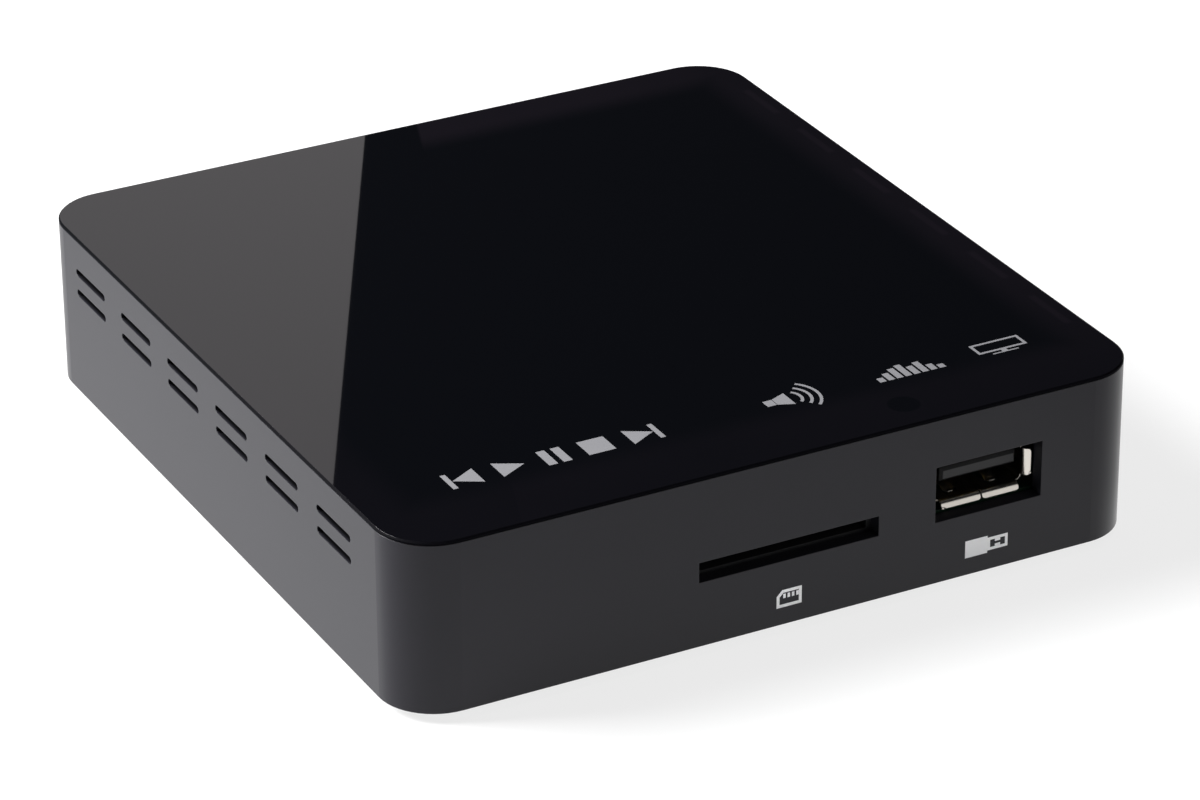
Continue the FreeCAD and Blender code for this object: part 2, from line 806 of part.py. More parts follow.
def card_slider():
    """Push-push slider with an arm behind the card's corner."""
    y0 = slider_start()
    z0 = board_top + card_floor
    z1 = card_top - card_sheet - slider_gap / 2
    bar = block(card_right + slider_gap, card_right + card_channel - slider_gap,
                y0, y0 + slider_length, z0, z1)
    arm = block(card_right - 2 * card_wall, card_right + card_wall, y0 + slider_length / 2,
                y0 + slider_length / 2 + card_wall, z0, z1)
    x = card_right + card_channel / 2
    y = y0 + heart_inset
    cam = [(x, y), (x + heart_width / 2, y + heart_length / 2), (x, y + heart_length),
           (x - heart_width / 2, y + heart_length / 2)]
    heart = profile(cam, lambda a, b: V(a, b, z1 - slider_gap), V(0, 0, slider_gap))
    return cut(fuse([bar, arm]), [heart])


def card_spring():
    """Compression spring between the slider and the socket's rear wall, wound in short flats."""
    start = slider_start() + slider_length
    end = card_rear - card_wall
    radius = (card_channel - 2 * slider_gap - spring_wire) / 2
    half = spring_wire / 2
    middle_x = card_right + card_channel / 2
    middle_z = (board_top + card_floor + card_top - card_sheet) / 2
    count = spring_turns * spring_flats
    rise = (end - start - spring_wire) / count
    loops = []
    for k in range(count + 1):
        t = 2 * math.pi * k / spring_flats
        y = start + half + k * rise
        loops.append([V(middle_x + (radius + a * half) * math.cos(t), y + b * half,
                        middle_z + (radius + a * half) * math.sin(t))
                      for a, b in ((-1, -1), (1, -1), (1, 1), (-1, 1))])
    faces = [Part.Face(Part.makePolygon(loop + loop[:1])) for loop in (loops[0], loops[-1])]
    for near, far in zip(loops, loops[1:]):
        for i in range(4):
            a, b, c, d = near[i], near[i - 1], far[i - 1], far[i]
            faces.append(Part.Face(Part.makePolygon([a, b, c, a])))
            faces.append(Part.Face(Part.makePolygon([a, c, d, a])))
    return Part.makeSolid(Part.makeShell(faces))


# ------------------------------------------------------------- USB receptacle

def usb_lip(across, half):
    """One flared lip along +X at the shell's mouth; across is its half height above the middle."""
    y0 = connector_front + usb_lip_forward
    run, out, t = usb_lip_forward, usb_lip_reach, usb_sheet
    line = [(y0 + t, across), (y0, across), (y0 - run, across + out),
            (y0 - run + 0.8 * t, across + out + 0.5 * t), (y0 + 0.4 * t, across + t), (y0 + t, across + t)]
    return profile(line, lambda a, b: V(-half, a, b), V(2 * half, 0, 0))


def usb_fingers(y0, half_z):
    """Slots in the shell's floor and roof, and the spring fingers bent inwards in them."""
    tip, root = y0 + usb_finger_tip, y0 + usb_finger_root
    ridge = tip + usb_finger_width / 2
    low, lift, t = -half_z - usb_sheet, usb_finger_lift, usb_sheet
    line = [(root, low), (root, low + t), (ridge, low + t + lift), (tip, low + t + lift / 3),
            (tip, low + lift / 3), (ridge, low + lift)]
    reach, gap = usb_finger_width / 2, usb_finger_gap
    slots, fingers = [], []
    for x in (-usb_finger_spread, usb_finger_spread):
        floor_finger = profile(line, lambda a, b: V(x - reach, a, b), V(2 * reach, 0, 0))
        floor_slot = block(x - reach - gap, x + reach + gap, tip - gap, root, low - t, low + 2 * t)
        for shape, kept in ((floor_finger, fingers), (floor_slot, slots)):
            above = shape.copy()
            above.rotate(V(0, 0, 0), V(0, 1, 0), 180)
            kept += [shape, above]
    return slots, fingers


def usb_shell():
    """Folded steel shell with flared lips, a seam below and four spring fingers."""
    half_x, half_z = usb_inner_width / 2, usb_inner_height / 2
    y0 = connector_front + usb_lip_forward
    outer = tunnel(-half_x - usb_sheet, half_x + usb_sheet, -half_z - usb_sheet, half_z + usb_sheet,
                   usb_corner + usb_sheet, y0, usb_rear, corner_flats)
    inner = tunnel(-half_x, half_x, -half_z, half_z, usb_corner, y0, usb_rear, corner_flats)
    long_lip = usb_lip(half_z, half_x - usb_corner)
    side_lip = usb_lip(half_x, usb_lip_side / 2)
    about_y = [(0, long_lip), (180, long_lip), (90, side_lip), (270, side_lip)]
    lips = []
    for angle, lip in about_y:
        turned = lip.copy()
        turned.rotate(V(0, 0, 0), V(0, 1, 0), angle)
        lips.append(turned)
    slots, fingers = usb_fingers(y0, half_z)
    shell = cut(fuse([cut(outer, [inner])] + lips), slots)
    shell = fuse([shell] + fingers)
    seam = block(-usb_lip_split / 2, usb_lip_split / 2, connector_front - 1, y0,
                 -half_z - 3 * usb_lip_reach, -half_z + usb_sheet)
    shell = cut(shell, [seam])
    leg_x = half_x + usb_sheet / 2
    legs = [block(x - usb_sheet / 2, x + usb_sheet / 2, usb_rear - usb_leg_back,
                  usb_rear - usb_leg_back + usb_leg, board_top - usb_mid_z, 0) for x in (-leg_x, leg_x)]
    shell = fuse([shell] + legs)
    return shell.translated(V(usb_x, 0, usb_mid_z))


def usb_tongue():
    """Moulded insulator: the contact tongue and the block that closes the shell."""
    half_x, half_z = usb_inner_width / 2, usb_inner_height / 2
    y0 = connector_front + usb_tongue_setback
    top = half_z - usb_tongue_drop
    tongue = block(-usb_tongue_width / 2, usb_tongue_width / 2, y0, usb_rear - usb_back,
                   top - usb_tongue_thickness, top)
    nose = [e for e in tongue.Edges if e.BoundBox.YMax < y0 + usb_tongue_nose / 2]
    tongue = tongue.makeChamfer(usb_tongue_nose, nose)
    back = tunnel(-half_x, half_x, -half_z, half_z, usb_corner, usb_rear - usb_back, usb_rear,
                  corner_flats)
    half = usb_contact_width / 2 + usb_contact_gap
    front = y0 + usb_contact_setback - usb_contact_gap
    grooves = [block(x - half, x + half, front, usb_rear - usb_back,
                     top - usb_tongue_thickness, top - usb_tongue_thickness + usb_sheet)
               for x in usb_contact_places()]
    return cut(fuse([tongue, back]), grooves).translated(V(usb_x, 0, usb_mid_z))


def usb_contact_places():
    """Middles of the four contacts, from the receptacle's middle."""
    return (-usb_contact_outer, -usb_contact_inner, usb_contact_inner, usb_contact_outer)


def usb_contacts():
    """Four gold strips in the tongue's grooves, bowed down in the middle."""
    y0 = connector_front + usb_tongue_setback + usb_contact_setback
    y1 = usb_rear - usb_back
    bow = (y1 - y0) / 7
    z = usb_mid_z + usb_inner_height / 2 - usb_tongue_drop - usb_tongue_thickness + usb_sheet
    line = [(y0, z), (y1, z), (y1, z - usb_sheet), (y0 + 3 * bow, z - usb_sheet),
            (y0 + 2 * bow, z - 2 * usb_sheet), (y0 + bow, z - 2 * usb_sheet), (y0, z - usb_sheet)]
    half = usb_contact_width / 2
    return [profile(line, lambda a, b: V(usb_x + x - half, a, b), V(usb_contact_width, 0, 0))
            for x in usb_contact_places()]


# ---------------------------------------------------------------- rear sockets

def dc_jack():
    """Power socket housing, sunk in the board, open to the rear."""
    body = block(dc_x - dc_width / 2, dc_x + dc_width / 2, connector_rear - dc_length, connector_rear,
                 jack_z - jack_height / 2, jack_z + jack_height / 2)
    bore = rod_y(dc_x, jack_z, connector_rear - dc_length + dc_back, connector_rear, dc_bore)
    return cut(body, [bore])


def dc_centre_pin():
    """Centre pin of the power socket with a bevelled tip."""
    y0 = connector_rear - dc_length + dc_back
    y1 = connector_rear - dc_pin_drop
    pin = rod_y(dc_x, jack_z, y0, y1, dc_pin)
    tip = [e for e in pin.Edges if e.BoundBox.YMin > y1 - 0.01]
    return pin.makeChamfer(dc_pin / 3, tip)


def signal_jack(x):
    """One 3.5 mm socket, sunk in the board, its collar in the rear wall."""
    body = block(x - jack_width / 2, x + jack_width / 2, connector_rear - jack_length, connector_rear,
                 jack_z - jack_height / 2, jack_z + jack_height / 2)
    collar = rod_y(x, jack_z, connector_rear, half_d - collar_drop, jack_collar)
    bore = rod_y(x, jack_z, connector_rear - jack_length + jack_back, half_d, jack_bore)
    return cut(fuse([body, collar]), [bore])


def hdmi_section(grow, y0, y1):
    """The socket's six-sided section, grown on every side, along Y."""
    half, low, high = hdmi_width / 2 + grow, -hdmi_height / 2 - grow, hdmi_height / 2 + grow
    c = hdmi_chamfer
    points = [(-half, high), (half, high), (half, low + 1.4 * c), (half - c, low),
              (-half + c, low), (-half, low + 1.4 * c)]
    return profile(points, lambda a, b: V(hdmi_x + a, y0, hdmi_mid_z + b), V(0, y1 - y0, 0))


def hdmi_shell():
    """Folded steel shell of the video socket, with four board legs."""
    y0, y1 = connector_rear - hdmi_length, connector_rear
    outer, inner = hdmi_section(hdmi_sheet, y0, y1), hdmi_section(0, y0, y1)
    reach = hdmi_width / 2 + hdmi_sheet
    legs = [block(hdmi_x + s * reach - hdmi_sheet / 2 - s * hdmi_sheet / 2,
                  hdmi_x + s * reach + hdmi_sheet / 2 - s * hdmi_sheet / 2,
                  y, y + hdmi_leg, board_top, hdmi_mid_z)
            for s in (-1, 1) for y in (y0 + hdmi_leg_inset, y1 - hdmi_leg_inset - 1.5 * hdmi_leg)]
    return fuse([cut(outer, [inner])] + legs)


def hdmi_tongue():
    """Insulator of the video socket: rear block and contact tongue."""
    y0, y1 = connector_rear - hdmi_length, connector_rear
    back = hdmi_section(0, y0, y0 + hdmi_back)
    tongue = block(hdmi_x - hdmi_tongue_width / 2, hdmi_x + hdmi_tongue_width / 2, y0, y1 - hdmi_setback,
                   hdmi_mid_z - hdmi_tongue_thickness / 2, hdmi_mid_z + hdmi_tongue_thickness / 2)
    return fuse([back, tongue])


def reset_switch():
    """Side-push switch on the board, with a cup for its stem."""
    y1 = connector_rear - reset_back
    body = block(reset_x - reset_body / 2, reset_x + reset_body / 2, y1 - reset_depth, y1,
                 board_top, board_top + 2 * reset_rise)
    cup = rod_y(reset_x, reset_z, y1 - reset_travel - reset_cup, y1, reset_stem + reset_run, bar_flats)
    return cut(body, [cup])


def reset_button():
    """Stem behind the reset hole."""
    y1 = connector_rear - reset_back
    return rod_y(reset_x, reset_z, y1 - reset_cup, y1 + reset_reach, reset_stem, bar_flats)


# ------------------------------------------------------------ parts on the board

def main_chip():
    """Processor package."""
    half = chip_size / 2
    base = block(chip_x - half, chip_x + half, chip_y - half, chip_y + half,
                 board_top, board_top + chip_height / 2)
    inset = half - chip_step
    lid = block(chip_x - inset, chip_x + inset, chip_y - inset, chip_y + inset,
                board_top + chip_height / 2, board_top + chip_height)
    return fuse([base, lid])


def thermal_pad():
    """Soft pad between the processor and its heat sink."""
    half = chip_size / 2 - pad_inset
    z0 = board_top + chip_height
    return block(chip_x - half, chip_x + half, chip_y - half, chip_y + half, z0, z0 + pad_height)


def heat_sink():
    """Extruded aluminium sink: a base and a row of fins."""
    half = sink_size / 2
    z0 = board_top + chip_height + pad_height
    pitch = (sink_size - sink_fin) / (sink_fins - 1)
    points = [(-half, 0), (half, 0)]
    for i in reversed(range(sink_fins)):
        x0 = -half + i * pitch
        points += [(x0 + sink_fin, sink_height), (x0, sink_height)]
        if i:
            points += [(x0, sink_base), (x0 - pitch + sink_fin, sink_base)]
    return profile(points, lambda a, b: V(chip_x + a, chip_y - half, z0 + b), V(0, sink_size, 0))


def memory_chips():
    """Four memory packages beside the processor, under the drive cage."""
    middle_x = bay_right - memory_bay_gap
    places = [(middle_x + i * memory_pitch, chip_y + memory_shift + j * memory_pitch)
              for i in (-1, 0) for j in (0, 1)]
    half = memory_size / 2
    return [block(x - half, x + half, y - half, y + half, board_top, board_top + memory_height)
            for x, y in places]


def flash_chip():
    """Firmware memory: a wide flat package with two rows of leads."""
    half_x, half_y = flash_length / 2, flash_width / 2
    memory_left = bay_right - memory_bay_gap - memory_pitch - memory_size / 2
    x, y = memory_left - flash_memory_gap - lead_reach - half_x, chip_y
    body = block(x - half_x, x + half_x, y - half_y, y + half_y, board_top + lead_thickness / 2,
                 board_top + memory_height)
    pitch = flash_width / flash_leads
    leads = []
    for s in (-1, 1):
        for k in range(flash_leads):
            lead_y = y - half_y + (k + 0.5) * pitch
            leads.append(block(x + s * half_x - lead_reach, x + s * half_x + lead_reach,
                               lead_y - pitch / 4, lead_y + pitch / 4, board_top, board_top + lead_thickness))
    return fuse([body] + leads)


def power_capacitors():
    """Electrolytic cans in front of the video socket, with their square bases."""
    cans = []
    y = half_d - capacitor_rear
    for i in range(capacitor_count):
        x = bay_right + capacitor_bay_gap + i * capacitor_pitch
        base = block(x - capacitor_radius, x + capacitor_radius, y - capacitor_radius,
                     y + capacitor_radius, board_top, board_top + capacitor_base)
        can = post(x, y, board_top + capacitor_base, board_top + capacitor_height,
                   capacitor_radius - lead_thickness, head_flats)
        cans.append(fuse([base, can]))
    return cans


def power_inductors():
    """Shielded coils of the voltage converters."""
    half = inductor_size / 2
    coils = []
    y = half_d - inductor_rear
    for i in range(inductor_count):
        x = dc_x + i * inductor_pitch
        body = block(x - half, x + half, y - half, y + half, board_top, board_top + inductor_height)
        uprights = [e for e in body.Edges if e.BoundBox.ZLength > half]
        groove = post(x, y, board_top + inductor_height - inductor_groove, board_top + inductor_height,
                      0.75 * half, bar_flats)
        coils.append(cut(body.makeChamfer(inductor_size / 6, uprights), [groove]))
    return coils


def crystal():
    """Clock crystal in its low steel can."""
    x, y = chip_x, chip_y + sink_size / 2 + crystal_width
    half_x, half_y = crystal_length / 2, crystal_width / 2
    return plate(x - half_x, x + half_x, y - half_y, y + half_y, 0.45 * crystal_width,
                 board_top, board_top + crystal_height, 2 * corner_flats)


def ir_receiver():
    """Infrared receiver on three tall legs, its lens under the dark window."""
    z1 = ledge_bottom - slider_gap
    z0 = z1 - ir_height
    y1 = drive_front - 2 * bay_gap
    y0 = y1 - ir_depth
    body = block(ir_x - ir_width / 2, ir_x + ir_width / 2, y0, y1, z0, z1)
    lens = post(ir_x, y0, z1 - ir_height / 3, z1, ir_width / 3, head_flats)
    lens = lens.common(block(ir_x - ir_width, ir_x + ir_width, -in_y + cover_fit, y1, z0, z1))
    legs = [block(x - ir_lead / 2, x + ir_lead / 2, y0 + ir_lead, y0 + 2 * ir_lead, board_top, z0)
            for x in (ir_x - ir_lead_pitch, ir_x, ir_x + ir_lead_pitch)]
    return fuse([body, lens] + legs)


# ----------------------------------------------------------- drive connector

def sata_riser():
    """Small upright board that carries the drive's socket."""
    left, right = riser_span()
    y0 = -in_y + riser_gap
    y1 = y0 + riser_thickness
    top = drive_z + drive_height - slider_gap
    foot = block(left, right, y0, y1, board_top, top)
    wing = block(left, plug_right + plug_gap, y0, y1, cage_z + riser_gap, top)
    return fuse([foot, wing] + riser_tabs(left, right, 0))


def sata_tongues(gap, y0, y1):
    """The two contact tongues of the drive's plug, or their slots when grown by gap."""
    z0, z1 = plug_z - tongue_thickness / 2 - gap, plug_z + tongue_thickness / 2 + gap
    power = plug_left + tongue_inset
    signal = plug_right - tongue_inset - signal_tongue
    return [block(power - gap, power + power_tongue + gap, y0, y1, z0, z1),
            block(signal - gap, signal + signal_tongue + gap, y0, y1, z0, z1)]


def sata_socket():
    """Socket on the riser, with a slot for each tongue."""
    y0 = -in_y + riser_gap + riser_thickness
    tip = drive_front + plug_notch_depth - plug_gap
    half = plug_notch_height / 2
    base = block(plug_left, plug_right, y0, drive_front - plug_gap, plug_z - half, plug_z + half)
    nose = block(plug_left + plug_gap, plug_right - plug_gap, drive_front - plug_gap, tip,
                 plug_z - half + plug_gap, plug_z + half - plug_gap)
    return cut(fuse([base, nose]), sata_tongues(plug_gap / 2, drive_front - plug_gap, tip))


# ---------------------------------------------------------------- hard drive

def stud_places():
    """Height and depth places of the drive's side holes."""
    y0 = drive_front + drive_hole_front
    return [(y, drive_z + drive_hole_height) for y in (y0, y0 + drive_hole_pitch)]


def plug_notch(y0, y1):
    """The notch in the drive's front end, between two depths."""
    half = plug_notch_height / 2
    return block(plug_left, plug_right, y0, y1, plug_z - half, plug_z + half)


def drive_base():
    """Cast base of the drive, with side holes, plug notch and board recess."""
    top = drive_z + drive_height - drive_lid - drive_emboss
    base = plate(drive_left, drive_right, drive_front, drive_rear, drive_corner, drive_z, top,
                 corner_flats)
    plug_rear = drive_front + plug_notch_depth + plug_block
    tools = [plug_notch(drive_front, plug_rear), drive_board_form(0)]
    for y, z in stud_places():
        tools.append(rod_x(y, z, drive_left, drive_left + drive_hole_depth, drive_hole_radius, bar_flats))
        tools.append(rod_x(y, z, drive_right - drive_hole_depth, drive_right, drive_hole_radius, bar_flats))
    return cut(base, tools)


def drive_board_form(shy):
    """The stepped outline of the drive's own board; shy thins it from below."""
    y0 = drive_front + plug_notch_depth
    y1 = y0 + drive_board_length
    x0, x1 = drive_left + tray_floor_frame / 2, drive_right - tray_floor_frame / 2
    z0, z1 = drive_z + shy, drive_z + drive_board_thickness
    middle = (x0 + x1) / 2
    step = drive_board_length / 4
    points = [(x0, y0), (x1, y0), (x1, y1 - step), (middle + step, y1 - step),
              (middle + step / 2, y1), (x0, y1)]
    return profile(points, lambda a, b: V(a, b, z0), V(0, 0, z1 - z0))


def drive_board():
    """The drive's controller board in the recess of its underside."""
    return drive_board_form(drive_board_thickness / 5)


def drive_plug():
    """Black plug of the drive with two contact tongues."""
    rear = drive_front + plug_notch_depth + plug_block
    body = plug_notch(drive_front + plug_notch_depth, rear)
    body = body.cut(drive_board_form(0))
    tongues = sata_tongues(0, drive_front + plug_gap, drive_front + plug_notch_depth + plug_block / 6)
    return fuse([body] + tongues)


def drive_lid_plate():
    """Stamped lid with a raised ring over the disc and a raised arm field."""
    z0 = drive_z + drive_height - drive_lid - drive_emboss
    z1 = z0 + drive_lid
    rim = drive_lid
    lid = plate(drive_left + rim, drive_right - rim, drive_front + rim, drive_rear - rim,
                drive_corner, z0, z1, corner_flats)
    middle_x = (drive_left + drive_right) / 2
    disc_y = drive_rear - drive_width / 2
    disc = post(middle_x, disc_y, z1, z1 + drive_emboss, drive_width / 2 - lid_screw_inset - rim,
                disc_flats)
    hub = post(middle_x, disc_y, z1, z1 + drive_emboss, hub_radius, foot_flats)
    arm = plate(drive_left + 2 * lid_screw_inset, middle_x, drive_front + 2 * lid_screw_inset,
                disc_y - 2 * hub_radius, 1.5 * lid_screw_inset, z1, z1 + drive_emboss, corner_flats)
    wide = fuse([disc, arm])
    lid = fuse([lid, wide.cut(hub)])
    return cut(lid, [post(x, y, z1 - drive_emboss, z1 + drive_emboss, lid_screw_head + cover_fit, bar_flats)
                     for x, y in drive_screw_places()])


def drive_screw_places():
    """Places of the lid's screws."""
    x0, x1 = drive_left + lid_screw_inset, drive_right - lid_screw_inset
    y0, y1 = drive_front + lid_screw_inset, drive_rear - lid_screw_inset
    middle = (y0 + y1) / 2
    return [(x0, y0), (x1, y0), (x0, y1), (x1, y1), (x0, middle + lid_screw_inset),
            (x1, middle - lid_screw_inset)]


def drive_screws():
    """Flat screws of the lid."""
    z = drive_z + drive_height - 2 * drive_emboss
    return [post(x, y, z, z + drive_lid, lid_screw_head, bar_flats) for x, y in drive_screw_places()]


# ------------------------------------------------------------------ drive tray

def drive_tray():
    """Moulded tray: floor frame, two side rails with studs and an end wall."""
    y0 = drive_front + tray_front_gap
    floor = plate(tray_left, tray_right, y0, bezel_y, tray_rail / 2, tray_z, drive_z, corner_flats)
    f = tray_floor_frame
    middle = (y0 + bezel_y) / 2
    windows = [plate(tray_left + f, tray_right - f, near, far, f / 3, tray_z, drive_z, corner_flats)
               for near, far in ((y0 + f, middle - f / 2), (middle + f / 2, bezel_y - f))]
    rail_top = drive_z + drive_height - drive_lid
    rails = [block(tray_left, tray_left + tray_rail, y0, bezel_y, tray_z, rail_top),
             block(tray_right - tray_rail, tray_right, y0, bezel_y, tray_z, rail_top)]
    for rail in range(2):
        lead = [e for e in rails[rail].Edges
                if e.BoundBox.YMax < y0 + 0.01 and e.BoundBox.ZMin > rail_top - 0.01]
        rails[rail] = rails[rail].makeChamfer(tray_lead, lead)
    end = block(tray_left, tray_right, bezel_y - tray_end_wall, bezel_y, tray_z, rail_top)
    studs = []
    for y, z in stud_places():
        reach = tray_rail + drive_fit + drive_hole_depth / 2
        studs.append(rod_x(y, z, tray_left, tray_left + reach, drive_hole_radius - drive_fit, bar_flats))
        studs.append(rod_x(y, z, tray_right - reach, tray_right, drive_hole_radius - drive_fit, bar_flats))
    tray = fuse([cut(floor, windows)] + rails + [end] + studs)
    pegs = [rod_y(x, z, bezel_y - tray_end_wall, bezel_y, peg_radius, bar_flats)
            for x, z in peg_places()]
    return cut(tray, pegs)


def peg_places():
    """Places of the bezel's heat-staked pegs."""
    middle = (tray_left + tray_right) / 2
    return [(middle + s * peg_spread, (tray_z + bezel_top) / 2) for s in (-1, 1)]


def handle_span():
    """Pin place, free end, lower and upper face of the handle."""
    pin_x = tray_right - handle_from_right
    middle = (bezel_z + bezel_top) / 2
    return pin_x, pin_x - handle_length, middle - handle_height / 2, middle + handle_height / 2


def pin_depth():
    """Depth place of the handle's pin."""
    return half_d - handle_inset - handle_barrel


def tray_bezel():
    """Rear face of the tray: follows the case's corner and holds the handle."""
    outer = case_plate(0, bezel_z, bezel_top)
    bezel = outer.common(block(-half_w - 1, tray_right, bezel_y, half_d + 1, bezel_z, bezel_top))
    pin_x, free_x, z0, z1 = handle_span()
    y = pin_depth()
    recess = block(free_x - handle_gap, pin_x, half_d - handle_inset - handle_thickness - handle_gap,
                   half_d + 1, z0 - handle_gap, z1 + handle_gap)
    round_end = handle_barrel + handle_swing_gap
    hinge = fuse([post(pin_x, y, z0 - handle_gap, z1 + handle_gap, round_end),
                  block(pin_x - round_end, pin_x + round_end, y, half_d + 1,
                        z0 - handle_gap, z1 + handle_gap)])
    scoop = post(free_x - scoop_radius / 3, half_d + scoop_radius - scoop_depth,
                 z0 + handle_gap, z1 - handle_gap, scoop_radius)
    hole = post(pin_x, y, bezel_z, bezel_top, pin_radius)
    bezel = cut(bezel, [recess, hinge, scoop, hole])
    pegs = [rod_y(x, z, bezel_y - tray_end_wall, bezel_y, peg_radius, bar_flats)
            for x, z in peg_places()]
    return fuse([bezel] + pegs)


def tray_handle():
    """Swing-out handle: a bar with a barrel at its pin and a nail notch."""
    pin_x, free_x, z0, z1 = handle_span()
    y = pin_depth()
    outer = half_d - handle_inset
    bar = block(free_x, pin_x, outer - handle_thickness, outer, z0, z1)
    ends = [e for e in bar.Edges if e.BoundBox.XMax < free_x + 0.01 and e.BoundBox.YLength > 0.1]
    bar = bar.makeFillet(handle_height / 4, ends)
    barrel = post(pin_x, y, z0, z1, handle_barrel)
    grip = post(free_x + grip_radius / 2, outer + grip_radius - grip_depth, z0, z1, grip_radius)
    handle = cut(fuse([bar, barrel]), [grip])
    return cut(handle, [post(pin_x, y, z0, z1, pin_radius + pin_run)])


def handle_pin():
    """Steel pin through the bezel's lips and the handle's barrel."""
    pin_x = handle_span()[0]
    return post(pin_x, pin_depth(), bezel_z, bezel_top, pin_radius)


# ------------------------------------------------------------------ drive cage

def drive_cage():
    """Folded steel cage: a floor with windows and one upright flange."""
    left, right = -in_x + cage_side_gap, bay_right + cage_thickness
    y0, y1 = drive_front + cage_front_gap, bezel_y - 2 * bezel_seam
    floor = block(left, right, y0, y1, cage_z, tray_z)
    flange_y = usb_rear + cage_front_gap
    flange = block(bay_right, right, flange_y, y1, cage_z, tray_z + cage_flange_height)
    ends = [e for e in flange.Edges if e.BoundBox.ZMin > tray_z + 1 and e.BoundBox.XLength > 0.1]
    flange = flange.makeChamfer(cage_flange_height / 2, ends)
    usb_notch = block(bay_right, right, y0, flange_y, cage_z, tray_z)
    run = (y1 - y0 - (cage_windows + 1) * cage_bar) / cage_windows
    windows = []
    for i in range(cage_windows):
        wy = y0 + cage_bar + i * (run + cage_bar)
        windows.append(plate(left + 2 * cage_bar, bay_right - 2 * cage_bar, wy, wy + run, cage_bar / 2,
                             cage_z, tray_z, corner_flats))
    neck = standoff_radius - standoff_step
    holes = [post(x, y, cage_z, tray_z, neck, bar_flats) for x, y in standoff_places]
    return cut(fuse([floor, flange]), [usb_notch] + windows + holes)


def cage_standoffs():
    """Six-sided threaded standoffs swaged into the cage, standing on the main board."""
    made = []
    for x, y in standoff_places:
        body = post(x, y, board_top, cage_z, standoff_radius, 6)
        neck = post(x, y, cage_z, tray_z, standoff_radius - standoff_step, bar_flats)
        hole = post(x, y, board_top, tray_z, board_screw_radius - thread_bite, hole_flats)
        made.append(cut(fuse([body, neck]), [hole]))
    return made


def cage_screws():
    """Screws from under the main board into the standoffs."""
    return [screw(x, y, board_z, board_thickness + card_socket_height, board_screw_radius - thread_bite,
                  board_screw_head, board_screw_head_height, 1) for x, y in standoff_places]


os.makedirs("parts", exist_ok=True)

nodes = {
    "body_shell": body_shell, "top_panel": top_panel, "panel_tape": panel_tape,
    "ir_window": ir_window, "bottom_cover": bottom_cover, "rubber_feet": rubber_feet,
    "case_screws": case_screws, "main_board": main_board, "board_screws": board_screws,
    "card_housing": card_housing, "card_cover": card_cover, "card_contacts": card_contacts,
    "card_slider": card_slider, "card_spring": card_spring,
    "usb_shell": usb_shell, "usb_tongue": usb_tongue, "usb_contacts": usb_contacts,
    "dc_jack": dc_jack, "dc_centre_pin": dc_centre_pin,
    "hdmi_shell": hdmi_shell, "hdmi_tongue": hdmi_tongue,
    "reset_switch": reset_switch, "reset_button": reset_button,
    "main_chip": main_chip, "thermal_pad": thermal_pad, "heat_sink": heat_sink,
    "memory_chips": memory_chips, "flash_chip": flash_chip,
    "power_capacitors": power_capacitors, "power_inductors": power_inductors,
    "crystal": crystal, "ir_receiver": ir_receiver,
    "sata_riser": sata_riser, "sata_socket": sata_socket,
    "drive_base": drive_base, "drive_lid": drive_lid_plate, "drive_screws": drive_screws,
    "drive_board": drive_board, "drive_plug": drive_plug,
    "drive_tray": drive_tray, "tray_bezel": tray_bezel,
    "tray_handle": tray_handle, "handle_pin": handle_pin,
    "drive_cage": drive_cage, "cage_standoffs": cage_standoffs, "cage_screws": cage_screws,
}
for node, make in nodes.items():
    save(node, make())
save("av_jack", signal_jack(av_x))
save("digital_jack", signal_jack(digital_x))
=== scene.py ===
"""Looks of the network media player with its rear hard drive tray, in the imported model's frame."""
import math
import bpy
import numpy as np
from mathutils import Matrix, Vector


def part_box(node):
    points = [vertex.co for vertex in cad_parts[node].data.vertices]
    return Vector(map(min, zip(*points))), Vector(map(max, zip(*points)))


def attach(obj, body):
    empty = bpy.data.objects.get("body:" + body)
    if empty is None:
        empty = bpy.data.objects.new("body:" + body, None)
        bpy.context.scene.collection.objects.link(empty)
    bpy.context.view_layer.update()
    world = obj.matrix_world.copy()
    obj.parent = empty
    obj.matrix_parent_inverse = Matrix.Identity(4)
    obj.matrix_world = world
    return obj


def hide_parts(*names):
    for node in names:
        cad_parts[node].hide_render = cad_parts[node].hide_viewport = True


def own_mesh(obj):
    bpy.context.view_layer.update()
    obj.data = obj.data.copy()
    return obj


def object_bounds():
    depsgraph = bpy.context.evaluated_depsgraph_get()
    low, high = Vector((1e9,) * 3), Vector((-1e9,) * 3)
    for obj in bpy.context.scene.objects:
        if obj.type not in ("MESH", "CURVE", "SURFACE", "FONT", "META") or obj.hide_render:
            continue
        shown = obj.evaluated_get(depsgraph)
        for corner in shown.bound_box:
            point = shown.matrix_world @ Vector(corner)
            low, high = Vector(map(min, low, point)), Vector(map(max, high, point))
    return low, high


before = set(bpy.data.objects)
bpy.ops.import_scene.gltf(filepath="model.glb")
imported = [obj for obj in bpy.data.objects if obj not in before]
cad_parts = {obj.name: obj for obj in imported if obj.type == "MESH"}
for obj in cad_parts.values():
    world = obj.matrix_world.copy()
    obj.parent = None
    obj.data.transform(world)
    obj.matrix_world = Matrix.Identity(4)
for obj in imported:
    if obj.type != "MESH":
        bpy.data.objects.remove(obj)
cad_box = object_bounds()
mm = 0.001


# ------------------------------------------------------------------ camera, floor and light
# A long lens looks at the front left corner from above. The floor is white card, and softboxes
# stand over it, to the left and behind, as on a product table.

scene = bpy.context.scene
scene.view_settings.view_transform = "Standard"

